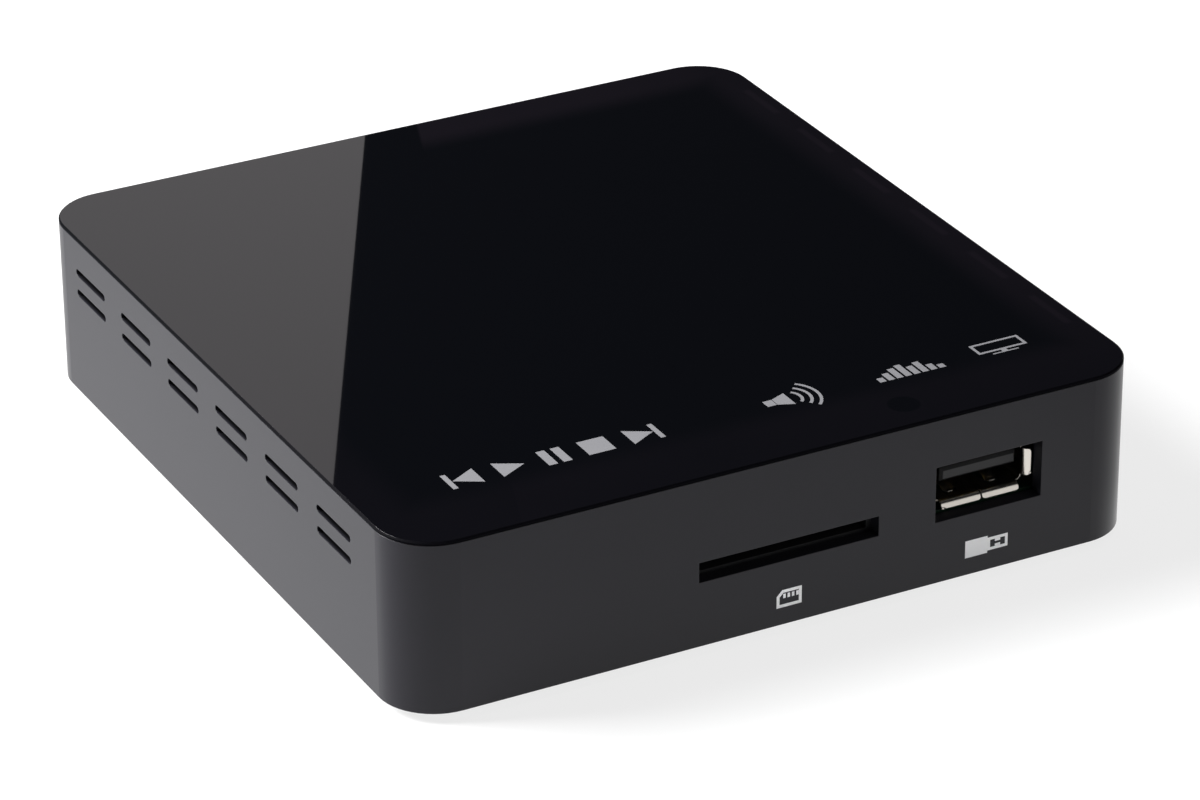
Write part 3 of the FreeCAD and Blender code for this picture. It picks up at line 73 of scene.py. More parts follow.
azimuth, elevation, roll = (math.radians(a) for a in (-27.6629, 27.0155, -0.3639))
back = Vector((math.sin(azimuth) * math.cos(elevation), -math.cos(azimuth) * math.cos(elevation),
               math.sin(elevation)))
level = Vector((math.cos(azimuth), math.sin(azimuth), 0))
upright = back.cross(level)
right = level * math.cos(roll) + upright * math.sin(roll)
up = upright * math.cos(roll) - level * math.sin(roll)
shift_right, shift_up, distance, foot_height = 3.0248, 5.5230, 691.877, 1.4
stand = (right * shift_right + up * shift_up + back * distance) * mm + Vector((0, 0, foot_height * mm))

lens = bpy.data.cameras.new("product_lens")
lens.lens = 155.799
lens.sensor_width = 36.0
lens.clip_start = 0.01
lens.clip_end = 50.0
camera = bpy.data.objects.new("product_camera", lens)
scene.collection.objects.link(camera)
camera.matrix_world = Matrix((right, up, back)).transposed().to_4x4()
camera.matrix_world.translation = stand
scene.camera = camera


def nodes_of(name):
    """A new material, its tree and its Principled shader."""
    material = bpy.data.materials.new(name)
    material.use_nodes = True
    return material, material.node_tree, material.node_tree.nodes["Principled BSDF"]


def maths(tree):
    """Two functions that add nodes to a tree and give their outputs.

    sum_of does one operation on numbers or outputs. ramp is a smooth step of a value: it goes from
    to_low to to_high while the value goes from low to high."""
    def sum_of(operation, first, second=None):
        node = tree.nodes.new("ShaderNodeMath")
        node.operation = operation
        for socket, value in zip(node.inputs, (first, second)):
            if isinstance(value, (int, float)):
                socket.default_value = value
            elif value is not None:
                tree.links.new(value, socket)
        return node.outputs[0]

    def ramp(value, low, high, to_low, to_high):
        node = tree.nodes.new("ShaderNodeMapRange")
        node.interpolation_type = "SMOOTHSTEP"
        tree.links.new(value, node.inputs["Value"])
        limits = {"From Min": low, "From Max": high, "To Min": to_low, "To Max": to_high}
        for socket, number in limits.items():
            node.inputs[socket].default_value = number
        return node.outputs["Result"]

    return sum_of, ramp


def places_in(tree):
    """Object coordinates: their vector output, and their X, Y and Z outputs."""
    place = tree.nodes.new("ShaderNodeTexCoord")
    parts = tree.nodes.new("ShaderNodeSeparateXYZ")
    tree.links.new(place.outputs["Object"], parts.inputs[0])
    return place.outputs["Object"], [parts.outputs[axis] for axis in "XYZ"]


def white_card():
    """Matt white card: it takes shadows, and looks near white to the eye.

    In gloss it glows with painted light, brightest beside the object, falling off with the larger of
    the two distances past the case's sides, and darker on the right with painted shade."""
    material, tree, shader = nodes_of("white_card")
    sum_of, ramp = maths(tree)
    link, new = tree.links.new, tree.nodes.new
    half_x, half_y, fall_off = 52.5 * mm, 56.0 * mm, 70.0 * mm
    beside, away, painted_shade_right = 1.62, 1.32, 0.84
    to_eye, through_glass = 0.78, 0.35
    shader.inputs["Base Color"].default_value = (0.86, 0.86, 0.86, 1)
    shader.inputs["Roughness"].default_value = 0.9
    shader.inputs["Specular IOR Level"].default_value = 0.1
    fibre = new("ShaderNodeTexNoise")
    fibre.inputs["Scale"].default_value = 900.0
    relief = new("ShaderNodeBump")
    relief.inputs["Strength"].default_value = 0.1
    relief.inputs["Distance"].default_value = 0.0001
    place, (x, y, _) = places_in(tree)
    link(place, fibre.inputs["Vector"])
    link(fibre.outputs["Fac"], relief.inputs["Height"])
    link(relief.outputs["Normal"], shader.inputs["Normal"])
    past_x = sum_of("SUBTRACT", sum_of("ABSOLUTE", x), half_x)
    past_y = sum_of("SUBTRACT", sum_of("ABSOLUTE", y), half_y)
    # Painted light in gloss: a pool beside the object, and painted shade on its right.
    painted_glow = ramp(sum_of("MAXIMUM", past_x, past_y), 0.0, fall_off, beside, away)
    painted_glow = sum_of("MULTIPLY", painted_glow, ramp(x, 54.0 * mm, 66.0 * mm, 1.0, painted_shade_right))
    path = new("ShaderNodeLightPath")
    glow = new("ShaderNodeEmission")
    in_gloss = sum_of("MULTIPLY", path.outputs["Is Glossy Ray"], painted_glow)
    link(sum_of("MAXIMUM", in_gloss, 1.0), glow.inputs["Strength"])
    seen = path.outputs["Is Glossy Ray"]
    for ray, share in (("Is Camera Ray", to_eye), ("Is Transmission Ray", through_glass)):
        seen = sum_of("MAXIMUM", seen, sum_of("MULTIPLY", path.outputs[ray], share))
    mix = new("ShaderNodeMixShader")
    link(seen, mix.inputs["Fac"])
    link(shader.outputs[0], mix.inputs[1])
    link(glow.outputs[0], mix.inputs[2])
    link(mix.outputs[0], tree.nodes["Material Output"].inputs["Surface"])
    return material


card = bpy.data.meshes.new("table_card")
reach = 4.0
card.from_pydata([(-reach, -reach, 0), (reach, -reach, 0), (reach, reach, 0), (-reach, reach, 0)],
                 [], [(0, 1, 2, 3)])
table = bpy.data.objects.new("table_card", card)
scene.collection.objects.link(table)
card.materials.append(white_card())

world = bpy.data.worlds.new("studio")
scene.world = world
world.use_nodes = True
world.node_tree.nodes["Background"].inputs["Color"].default_value = (0.9, 0.93, 1.0, 1)
world.node_tree.nodes["Background"].inputs["Strength"].default_value = 0.012


def softbox(name, place, aim, wide, high, power):
    """A rectangular lamp at one point that faces another."""
    lamp = bpy.data.lights.new(name, "AREA")
    lamp.shape = "RECTANGLE"
    lamp.size = wide
    lamp.size_y = high
    lamp.energy = power
    box = bpy.data.objects.new(name, lamp)
    scene.collection.objects.link(box)
    turn = (Vector(aim) - Vector(place)).to_track_quat("-Z", "Y")
    box.matrix_world = Matrix.Translation(Vector(place)) @ turn.to_matrix().to_4x4()
    return box


softbox("left_softbox", (-0.43, 0.27, 0.42), (-0.07, 0.02, 0), 0.35, 0.35, 18.0)
softbox("overhead_softbox", (0.15, -0.15, 1.2), (0, 0, 0), 0.8, 0.8, 1.8)
softbox("front_reflector", (0.455, -0.914, 0.415), (0, 0, 0.01), 1.2, 0.6, 2.8)

# The rear board leans a little, and its right edge is the line that crosses the glossy top.
board_wide = 0.7
edge_foot, edge_head = Vector((0.387, 0.9, 0.440)), Vector((0.371, 0.9, 0.569))
rise = (edge_head - edge_foot).normalized()
board = softbox("rear_board", (0, 0.9, 0.5), (0, 0, 0.5), board_wide, 0.9, 1.35)
board.data.color = (1.0, 0.955, 0.97)
facing = Vector((0, 1, 0))
board.matrix_world = Matrix((rise.cross(facing), rise, facing)).transposed().to_4x4()
board.matrix_world.translation = (edge_foot + edge_head) / 2 + rise.cross(facing) * (board_wide / 2)


# ------------------------------------------------------------------ bottom cover and feet
# The cover is moulded in the same black plastic as the case, with a coarser grain, and four
# screws hold it from below. The feet are soft black rubber, glued in round pockets.

def grained(name, colour, roughness, grain, depth,
            wear=0.25, metallic=0.0, spread=(1, 1, 1), soften=0.12):
    """A finish with a fine grain: noise drives the bump, and a slower noise shades colour and gloss.

    grain is the size of the grain and depth its relief, in millimetres. wear is the share by which
    the colour varies; the gloss varies by a third as much. spread stretches the grain for brushed
    metal, and soften rounds the look of sharp edges by that radius in millimetres."""
    material, tree, shader = nodes_of(name)
    shader.inputs["Metallic"].default_value = metallic
    gloss_wear = 0.3 * wear
    place = tree.nodes.new("ShaderNodeTexCoord")
    stretch = tree.nodes.new("ShaderNodeMapping")
    stretch.inputs["Scale"].default_value = spread
    fine = tree.nodes.new("ShaderNodeTexNoise")
    fine.inputs["Scale"].default_value = 1.0 / (grain * mm)
    fine.inputs["Detail"].default_value = 2.0
    slow = tree.nodes.new("ShaderNodeTexNoise")
    slow.inputs["Scale"].default_value = 60.0
    slow.inputs["Detail"].default_value = 4.0
    relief = tree.nodes.new("ShaderNodeBump")
    relief.inputs["Strength"].default_value = 1.0
    relief.inputs["Distance"].default_value = depth * mm
    edge = tree.nodes.new("ShaderNodeBevel")
    edge.samples = 4
    edge.inputs["Radius"].default_value = soften * mm
    tint = tree.nodes.new("ShaderNodeMix")
    tint.data_type = "RGBA"
    tint.inputs[6].default_value = tuple(c * (1 - wear) for c in colour) + (1,)
    tint.inputs[7].default_value = tuple(c * (1 + wear) for c in colour) + (1,)
    polish = tree.nodes.new("ShaderNodeMapRange")
    polish.inputs["To Min"].default_value = roughness * (1 - gloss_wear)
    polish.inputs["To Max"].default_value = roughness * (1 + gloss_wear)
    link = tree.links.new
    link(place.outputs["Object"], stretch.inputs["Vector"])
    link(stretch.outputs["Vector"], fine.inputs["Vector"])
    link(place.outputs["Object"], slow.inputs["Vector"])
    link(fine.outputs["Fac"], relief.inputs["Height"])
    link(edge.outputs["Normal"], relief.inputs["Normal"])
    link(relief.outputs["Normal"], shader.inputs["Normal"])
    link(slow.outputs["Fac"], tint.inputs[0])
    link(tint.outputs[2], shader.inputs["Base Color"])
    link(slow.outputs["Fac"], polish.inputs["Value"])
    link(polish.outputs["Result"], shader.inputs["Roughness"])
    return material


def dress(material, *names):
    """Give CAD nodes their finish."""
    for name in names:
        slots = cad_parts[name].data.materials
        slots.clear()
        slots.append(material)


cover_black = grained("cover_black", (0.022, 0.022, 0.024), 0.5, 0.3, 0.006, wear=0.08)
foot_rubber = grained("foot_rubber", (0.018, 0.018, 0.019), 0.8, 0.35, 0.01, wear=0.2)
dress(cover_black, "bottom_cover")
dress(foot_rubber, "rubber_feet")


def placed(name, points, faces, material, body, slot):
    """A piece from its points in millimetres and its faces, smooth shaded, riding on a body."""
    mesh = bpy.data.meshes.new(name)
    mesh.from_pydata((np.asarray(points) * mm).tolist(), [], faces)
    mesh.polygons.foreach_set("use_smooth", [True] * len(mesh.polygons))
    mesh.materials.append(material)
    piece = bpy.data.objects.new(name, mesh)
    scene.collection.objects.link(piece)
    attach(piece, body)
    return piece


def ease(piece, radius):
    """Round the edges of a piece that turn by more than 35 degrees."""
    soften = piece.modifiers.new("eased_edges", "BEVEL")
    soften.width = radius * mm
    soften.segments = 2
    soften.limit_method = "ANGLE"
    soften.angle_limit = math.radians(35)
    soften.harden_normals = True
    return piece


def cross_screw(x, y, z, facing, radius, height, shank, length):
    """Points and faces of a screw with a cross recess. z is under its head, and facing 1 is upwards.

    A square grid u, v is spread over the disc. With m the larger of |u| and |v|, it stays square up
    to m = square and eases into circles beyond. The head's height is height (1 - dome r^2), less
    sunk of it in the recess, where m is inside the arm and the smaller of |u| and |v| inside the
    blade. Rings go on down the shank to its blunt point."""
    blade, arm, wall, outer, square = 0.1, 0.48, 0.05, 0.77, 0.6
    dome, sunk, taper, point = 0.3, 0.62, 0.8, 0.3
    half = [blade, blade + wall, arm, arm + wall, outer, 1.0]
    stops = np.array([-h for h in reversed(half)] + half)
    u, v = np.meshgrid(stops, stops, indexing="ij")
    m = np.maximum(np.abs(u), np.abs(v))
    unit = np.stack([u, v]) / m
    blend = np.clip((m - square) / (1 - square), 0, 1)
    px, py = unit * m * (1 - blend + blend / np.hypot(*unit)) * radius
    in_cross = (m <= arm) & (np.minimum(np.abs(u), np.abs(v)) <= blade)
    pz = height * (1 - dome * (px ** 2 + py ** 2) / radius ** 2 - sunk * in_cross)
    n = len(stops)
    place = np.arange(n * n).reshape(n, n)
    rim = np.concatenate([place[:-1, 0], place[-1, :-1], place[:0:-1, -1], place[0, :0:-1]])
    points = [np.stack([px, py, pz], 2).reshape(-1, 3)]
    edge = points[0][rim, :2] / radius
    rings = ((radius, 0.0), (shank, 0.0), (shank, taper * shank - length), (point * shank, -length))
    for ring_radius, ring_z in rings:
        points.append(np.column_stack([edge * ring_radius, np.full(len(rim), ring_z)]))
    points = np.concatenate(points) * (1, facing, facing) + (x, y, z)
    cells = [place[:-1, :-1], place[1:, :-1], place[1:, 1:], place[:-1, 1:]]
    faces = np.stack(cells, 2).reshape(-1, 4).tolist()
    upper = rim
    for k in range(len(rings)):
        lower = n * n + k * len(rim) + np.arange(len(rim))
        faces += np.stack([upper, lower, np.roll(lower, -1), np.roll(upper, -1)], 1).tolist()
        upper = lower
    return points, faces + [upper[::-1].tolist()]


def joined(parts):
    """Points and faces of several parts as one."""
    points, faces, base = [], [], 0
    for some, their_faces in parts:
        points.append(np.asarray(some, float))
        faces += [[base + i for i in face] for face in their_faces]
        base += len(some)
    return np.concatenate(points), faces


def screw_set(name, node, places, z, facing, material, body, slot, **sizes):
    """Screws at several places, in place of a CAD node."""
    parts = [cross_screw(x, y, z, facing, **sizes) for x, y in places]
    piece = placed(name, *joined(parts), material, body, slot)
    ease(piece, 0.02)
    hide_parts(node)


black_zinc = grained("black_zinc", (0.05, 0.05, 0.052), 0.35, 0.2, 0.003, metallic=0.9)
case_places = [(x, y) for x in (-46.7, 46.7) for y in (-50.2, 50.2)]
case_seat = 2.4
screw_set("case_screw_set", "case_screws", case_places, case_seat, -1, black_zinc, "case", "black_screw",
          radius=2.1, height=0.95, shank=1.2, length=8.8)


# ------------------------------------------------------------------ main board and its parts
# A board under dark green solder mask, screwed to the cover's posts. Packages are matt epoxy,
# capacitor cans are bare aluminium and the heat sink is black anodised.

board_green = grained("board_green", (0.0035, 0.018, 0.0085), 0.35, 0.5, 0.002)
chip_black = grained("chip_black", (0.02, 0.02, 0.021), 0.55, 0.12, 0.003)
pad_grey = grained("pad_grey", (0.35, 0.38, 0.4), 0.7, 0.3, 0.004)
sink_black = grained("sink_black", (0.02, 0.02, 0.022), 0.4, 0.2, 0.002, metallic=0.7)
can_silver = grained("can_silver", (0.7, 0.7, 0.72), 0.3, 0.1, 0.001, metallic=1.0)
ferrite = grained("ferrite", (0.06, 0.06, 0.065), 0.5, 0.2, 0.003)
crystal_can = grained("crystal_can", (0.7, 0.7, 0.68), 0.22, 0.1, 0.001, metallic=1.0)
zinc = grained("zinc", (0.62, 0.61, 0.58), 0.3, 0.2, 0.002, metallic=1.0)
dress(board_green, "main_board", "sata_riser")
board_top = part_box("main_board")[1].z / mm
board_places = [(x, y) for x in (-40.0, 40.0) for y in (-31.0, 27.0)]
screw_set("board_screw_set", "board_screws", board_places, board_top, 1, zinc, "case", "zinc_screw",
          radius=1.84, height=0.9, shank=0.98, length=6.9)
dress(chip_black, "main_chip", "memory_chips", "flash_chip", "ir_receiver")
dress(pad_grey, "thermal_pad")
dress(sink_black, "heat_sink")
dress(can_silver, "power_capacitors")
dress(ferrite, "power_inductors")
dress(crystal_can, "crystal")

# Ceramic capacitors and resistors in rows beside the packages, with tinned ends. A row has its
# first place, its step and its count.
ceramic = grained("ceramic", (0.23, 0.17, 0.12), 0.6, 0.3, 0.002, wear=0.3)
tin = grained("tin", (0.62, 0.62, 0.62), 0.35, 0.2, 0.002, metallic=1.0)
rows = (((27.0, 10.5), (2.0, 0), 9), ((-9.0, 7.5), (2.0, 0), 12),
        ((-33.0, -18.0), (2.2, 0), 9), ((-33.0, 0.2), (2.2, 0), 9),
        ((-40.0, 30.2), (2.4, 0), 8), ((22.6, -18.0), (0, 2.2), 9),
        ((24.5, 39.4), (1.9, 0), 8), ((-24.0, 39.0), (2.2, 0), 8))


def chip_block(x, y, half_x, half_y, height):
    """A block on the board: its lower and upper four corners, and its faces."""
    side_x, side_y = np.array([(-1, -1), (1, -1), (1, 1), (-1, 1)] * 2).T
    z = np.repeat([board_top, board_top + height], 4)
    corners = np.column_stack([x + side_x * half_x, y + side_y * half_y, z])
    return corners, [[3, 2, 1, 0], [4, 5, 6, 7], [0, 1, 5, 4], [1, 2, 6, 5], [2, 3, 7, 6], [3, 0, 4, 7]]


middle_size, end_size, end_reach = (0.4, 0.52, 0.55), (0.42, 0.16, 0.58), 0.66
centres = [(x + dx * k, y + dy * k) for (x, y), (dx, dy), count in rows for k in range(count)]
middles = [chip_block(x, y, *middle_size) for x, y in centres]
ends = [chip_block(x, y + side * end_reach, *end_size) for x, y in centres for side in (-1, 1)]
for name, parts, finish in (("small_parts", middles, ceramic), ("small_part_ends", ends, tin)):
    ease(placed(name, *joined(parts), finish, "case", "chip_plastic"), 0.06)


# ------------------------------------------------------------------ card socket
# Black moulded base, stainless cover with a satin face, gold plated spring contacts, and the
# push-push slider with its coil spring in the side channel.

socket_black = grained("socket_black", (0.009, 0.009, 0.01), 0.45, 0.15, 0.002)
socket_black.node_tree.nodes["Principled BSDF"].inputs["Specular IOR Level"].default_value = 0.25
stainless = grained("stainless", (0.58, 0.56, 0.52), 0.28, 0.12, 0.0015,
                    metallic=1.0, spread=(0.12, 1, 1))
gold = grained("gold", (0.83, 0.62, 0.25), 0.25, 0.1, 0.001, metallic=1.0)
spring_steel = grained("spring_steel", (0.5, 0.5, 0.5), 0.25, 0.1, 0.001, metallic=1.0)
dress(socket_black, "card_housing", "card_slider")
dress(stainless, "card_cover")
dress(gold, "card_contacts")


def coil(x, z, y0, y1, radius, wire, turns):
    """A round wire on a helix (x + r cos t, y(t), z + r sin t). y rises by one wire in the first and
    the last turn, and evenly between them."""
    per_turn, around = 24, 8
    t = np.linspace(0, 2 * np.pi * turns, turns * per_turn + 1)
    n = t / (2 * np.pi)
    y = y0 + wire * (0.5 + np.clip(n, 0, 1) + np.clip(n - turns + 1, 0, 1))
    y += (y1 - y0 - 3 * wire) * np.clip((n - 1) / (turns - 2), 0, 1)
    middle = np.stack([x + radius * np.cos(t), y, z + radius * np.sin(t)], 1)[:, None]
    outward = np.stack([np.cos(t), 0 * t, np.sin(t)], 1)[:, None]
    turn = np.linspace(0, 2 * np.pi, around, endpoint=False)[None, :, None]
    points = middle + wire / 2 * (np.cos(turn) * outward + np.sin(turn) * np.array([0, 1, 0]))
    place = np.arange(len(t) * around).reshape(len(t), around)
    beside = np.roll(place, -1, 1)
    faces = np.stack([place[:-1], beside[:-1], beside[1:], place[1:]], 2).reshape(-1, 4).tolist()
    return points.reshape(-1, 3), faces + [place[0, ::-1].tolist(), place[-1].tolist()]


low, high = (np.array(v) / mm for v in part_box("card_spring"))
middle, wire, turns, travel = (low + high) / 2, 0.25, 6, 3.0
wound = coil(middle[0], middle[2], low[1], high[1], (high[0] - low[0] - wire) / 2, wire, turns)
spring = placed("card_spring_wire", *wound, spring_steel, "case", "spring_steel")
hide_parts("card_spring")
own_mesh(spring)


# ------------------------------------------------------------------ USB receptacle
# Folded nickel-plated steel around a black insulator. The sheet flares at the mouth into
# separate lips, the lower one split at the folded seam, and four spring fingers, two above and
# two below, press inwards on the plug.

def steps(stops, spacing):
    """Places from stop to stop, evenly spaced between neighbours, never further apart than spacing."""
    runs = [np.linspace(a, b, max(2, math.ceil((b - a) / spacing) + 1))[:-1]
            for a, b in zip(stops[:-1], stops[1:])]
    return np.concatenate(runs + [np.array(stops[-1:])])


def sheet_faces(middle, kept, thickness, closed):
    """Points and faces of a sheet with a thickness, from its middle surface.

    middle holds one point per grid place. The normal there is the cross product of the grid's two
    directions. Every kept cell gives a face half the thickness out on either side, and a wall
    wherever the next cell is missing, so slots and notches are cells left out."""
    if closed:
        along = np.roll(middle, -1, 0) - np.roll(middle, 1, 0)
    else:
        along = np.gradient(middle, axis=0)
    normal = np.cross(along, np.gradient(middle, axis=1))
    normal /= np.linalg.norm(normal, axis=2, keepdims=True)
    rows, columns = middle.shape[:2]
    points = np.concatenate([(middle + normal * thickness / 2).reshape(-1, 3),
                             (middle - normal * thickness / 2).reshape(-1, 3)])
    i, j = np.nonzero(kept)
    after = (i + 1) % rows
    a, b, c, d = i * columns + j, after * columns + j, after * columns + j + 1, i * columns + j + 1
    back = rows * columns
    faces = [np.stack([a, b, c, d], 1), np.stack([d, c, b, a], 1) + back]
    around = np.pad(kept, 1)
    if closed:
        around[0, 1:-1], around[-1, 1:-1] = kept[-1], kept[0]
    open_sides = ((a, b, around[i + 1, j]), (b, c, around[i + 2, j + 1]),
                  (c, d, around[i + 1, j + 2]), (d, a, around[i, j + 1]))
    for start, end, neighbour in open_sides:
        bare = ~neighbour
        start, end = start[bare], end[bare]
        faces.append(np.stack([end, start, start + back, end + back], 1))
    faces = np.concatenate(faces)
    used, renumbered = np.unique(faces, return_inverse=True)
    return points[used], renumbered.reshape(-1, 4).tolist()


sheet = 0.3


def receptacle_shell(centre_x, centre_z, mouth, rear):
    """The receptacle's folded shell, as a rounded rectangle carried from the lips to the rear.

    Round the section the sheet runs along the bottom, up the right, back along the top and down the
    left. Towards the mouth its straight sides bend outwards on an arc, run on flat and end in round
    corners. Between them the corners are left open, and the lower side is split in the middle. The
    spring fingers are strips between slots, with round tips. They are raised inwards by
    bump sin(pi w), where w is a power of the way from root to tip, so the crest is near the tip."""
    half_x, half_z, radius = 6.55, 2.71, 0.8
    flat_x, flat_z = half_x - radius, half_z - radius
    bend_radius, bend, flat, lip_corner = 0.77, 1.1, 0.5, 0.42
    curved = bend_radius * bend
    lip = curved + flat
    split, seam, split_x = 0.09, 0.035, 0.2
    slot, finger, finger_x, tip, root = 0.22, 0.85, 3.1, 1.3, 8.8
    bump, crest, lean = 0.6, 1.08, 2.2
    wide = [-flat_x, -finger_x - finger - slot, -finger_x - finger, -finger_x + finger,
            -finger_x + finger + slot, split_x - split, split_x - seam, split_x + seam,
            split_x + split, finger_x - finger - slot, finger_x - finger, finger_x + finger,
            finger_x + finger + slot, flat_x]
    tall = [-flat_z, flat_z]
    sides = [(steps(wide, 0.5), 0, flat_z), (steps(tall, 0.5), 90, flat_x),
             (steps(wide, 0.5), 180, flat_z), (steps(tall, 0.5), 270, flat_x)]
    depth = np.concatenate([steps([-lip, -curved, 0.0], 0.12),
                            steps([0.0, tip - slot, tip], 0.45)[1:],
                            steps([tip, tip + finger], 0.14)[1:],
                            steps([tip + finger, root, rear - mouth], 0.45)[1:]])

    # Each place round the section: how far across its side, how far out, and which way out is.
    across, outward, turn, straight, lower = [], [], [], [], []
    for places, angle, offset in sides:
        corner = np.radians(np.linspace(0, 90, 7))[1:-1]
        across += [places, places[-1] + radius * np.sin(corner)]
        outward += [np.full(len(places), offset + radius), offset + radius * np.cos(corner)]
        turn += [np.full(len(places) + len(corner), math.radians(angle))]
        straight += [np.ones(len(places), bool), np.zeros(len(corner), bool)]
        lower += [np.full(len(places) + len(corner), angle == 0)]
    across, outward, turn = (np.concatenate(v)[:, None] for v in (across, outward, turn))
    straight, lower = np.concatenate(straight)[:, None], np.concatenate(lower)[:, None]

    # The lips: s is the way along the sheet. Below zero it is in the bend, then in the flat lip.
    s = depth[None, :]
    swing = np.clip(-s, 0, curved) / bend_radius
    past = np.clip(-s - curved, 0, None)
    flare = bend_radius * (1 - np.cos(swing)) + past * math.sin(bend)
    forward = np.where(s < 0, -bend_radius * np.sin(swing) - past * math.cos(bend), s)
    into_corner = np.clip(-s - lip + lip_corner, 0, lip_corner)
    nip = lip_corner - np.sqrt(np.clip(lip_corner ** 2 - into_corner ** 2, 0, None))
    reach = np.where(np.isin(np.round(np.degrees(turn)), (90, 270)), flat_z, flat_x)
    toward_split = np.where(across < split_x, split_x, -split_x)
    half = np.where(lower, (flat_x + toward_split - split) / 2, reach)
    middle = np.where(lower, np.where(across < split_x, half - flat_x, flat_x - half), 0.0)
    narrowed = middle + (across - middle) * (1 - nip / half)
    across_all = np.where(straight & (s < 0), narrowed, across + 0 * s)

    # The fingers, in the upper and the lower side.
    level_side = np.isin(np.round(np.degrees(turn)), (0, 180)) & straight
    strip_x = np.sign(across) * finger_x
    in_strip = np.abs(np.abs(across) - finger_x) < finger + 1e-6
    on_finger = level_side & in_strip & (s > tip - 1e-6) & (s < root + 1e-6)
    rounded = np.sqrt(1 - (1 - np.clip((s - tip) / finger, 0.12, 1)) ** 2)
    across_all = np.where(on_finger, strip_x + (across - strip_x) * rounded, across_all)
    way = np.clip((root - s) / (root - tip) * crest, 0, 1)
    lift = np.where(on_finger, bump * np.sin(np.pi * way ** lean), 0.0)
    out_all = outward + flare - lift
    x = centre_x + across_all * np.cos(turn) + out_all * np.sin(turn)
    z = centre_z + across_all * np.sin(turn) - out_all * np.cos(turn)
    grid = np.stack([x, mouth + forward + 0 * x, z], 2)

    # Cells left out: the corners between the lips, the split, the seam and the slots.
    mid_across = (across[:, 0] + np.roll(across[:, 0], -1)) / 2
    mid_s = (depth[1:] + depth[:-1]) / 2
    both = straight[:, 0] & np.roll(straight[:, 0], -1) & (turn[:, 0] == np.roll(turn[:, 0], -1))
    cell_lower, cell_level = lower[:, 0] & both, level_side[:, 0] & both
    behind_mouth = (mid_s > 0)[None, :]
    off_split = np.abs(mid_across - split_x)
    kept = np.ones((len(mid_across), len(mid_s)), bool)
    kept &= both[:, None] | behind_mouth
    kept &= ~(cell_lower & (off_split < split))[:, None] | behind_mouth
    kept &= ~(cell_lower & (off_split < seam))[:, None]
    beside = np.abs(np.abs(mid_across) - finger_x)
    in_slot = ((beside > finger) & (beside < finger + slot))[:, None] & \
        ((mid_s > tip - slot) & (mid_s < root))[None, :]
    past_tip = (beside < finger + slot)[:, None] & ((mid_s > tip - slot) & (mid_s < tip))[None, :]
    kept &= ~(cell_level[:, None] & (in_slot | past_tip))
    return sheet_faces(grid, kept, sheet, True)


nickel = grained("nickel", (0.475, 0.449, 0.41), 0.22, 0.25, 0.0015, wear=0.12, metallic=1.0)
usb_low, usb_high = (np.array(v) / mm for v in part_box("usb_tongue"))
beside_tongue, lips_forward = 0.15, 0.96
usb_x, usb_z = (usb_low[0] + usb_high[0]) / 2 + beside_tongue, (usb_low[2] + usb_high[2]) / 2
usb_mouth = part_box("usb_shell")[0].y / mm + lips_forward
shell = placed("usb_receptacle_shell", *receptacle_shell(usb_x, usb_z, usb_mouth, usb_high[1]),
               nickel, "case", "connector_steel")
ease(shell, 0.05)


def shell_leg(x, y0, y1, z0, z1):
    """An upright tab from the shell's side down to the board, its foot tapered."""
    foot, narrowing = 0.8, 0.35
    y = np.array([y0, y1])[:, None]
    z = np.linspace(z0, z1, 8)[None, :]
    taper = narrowing * np.clip((z0 + foot - z) / foot, 0, 1)
    grid = np.stack([x + 0 * y + 0 * z, y + np.sign((y0 + y1) / 2 - y) * taper, z + 0 * y], 2)
    whole = np.ones((grid.shape[0] - 1, grid.shape[1] - 1), bool)
    return sheet_faces(grid, whole, sheet, False)


leg_out, leg_front, leg_back = 6.56, 6.0, 3.5
for side, x in (("left", usb_x - leg_out), ("right", usb_x + leg_out)):
    tab = shell_leg(x, usb_high[1] - leg_front, usb_high[1] - leg_back, board_top, usb_z)
    leg = placed("usb_leg_" + side, *tab, nickel, "case", "connector_steel")
    ease(leg, 0.04)
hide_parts("usb_shell")
dress(socket_black, "usb_tongue")
dress(gold, "usb_contacts")


# ------------------------------------------------------------------ rear sockets and reset
# Black moulded housings sunk in the board's rear edge, a gold centre pin, a nickel video shell,
# and the reset switch behind its hole.

dress(socket_black, "dc_jack", "av_jack", "digital_jack", "hdmi_tongue", "reset_switch")
dress(gold, "dc_centre_pin")
dress(nickel, "hdmi_shell")


def collar(x, y, z, profile):
    """A ring turned about a line along y: the profile of radius r and depth d is swept round it,
    through (x + r cos t, y + d, z + r sin t)."""
    count = 40
    angle = np.linspace(0, 2 * np.pi, count, endpoint=False)[:, None]
    radius, depth = np.array(profile, float).T
    points = np.stack([x + radius * np.cos(angle), y + depth + 0 * angle, z + radius * np.sin(angle)], 2)
    place = np.arange(points.shape[0] * points.shape[1]).reshape(points.shape[:2])
    after, along = np.roll(place, -1, 0), np.roll(place, -1, 1)
    both = np.roll(after, -1, 1)
    return points.reshape(-1, 3), np.stack([place, after, both, along], 2).reshape(-1, 4).tolist()


jack_z = 8.5
jack_profile = [(1.86, -1.2), (1.86, 0.0), (1.98, 0.08), (2.5, 0.08),
                (2.62, -0.02), (2.62, -0.3), (2.1, -0.3), (2.1, -1.2)]
for name in ("av_jack", "digital_jack"):
    low, high = (np.array(v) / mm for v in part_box(name))
    ring = collar((low[0] + high[0]) / 2, high[1], jack_z, jack_profile)
    ease(placed(name + "_collar", *ring, nickel, "case", "connector_steel"), 0.03)
reset_white = grained("reset_white", (0.5, 0.5, 0.48), 0.5, 0.2, 0.002)
dress(reset_white, "reset_button")


# ------------------------------------------------------------------ hard drive and its socket
# A 2.5 inch drive: cast aluminium base, stamped lid with a raised ring, zinc plated screws, a
# green controller board below and a black plug.

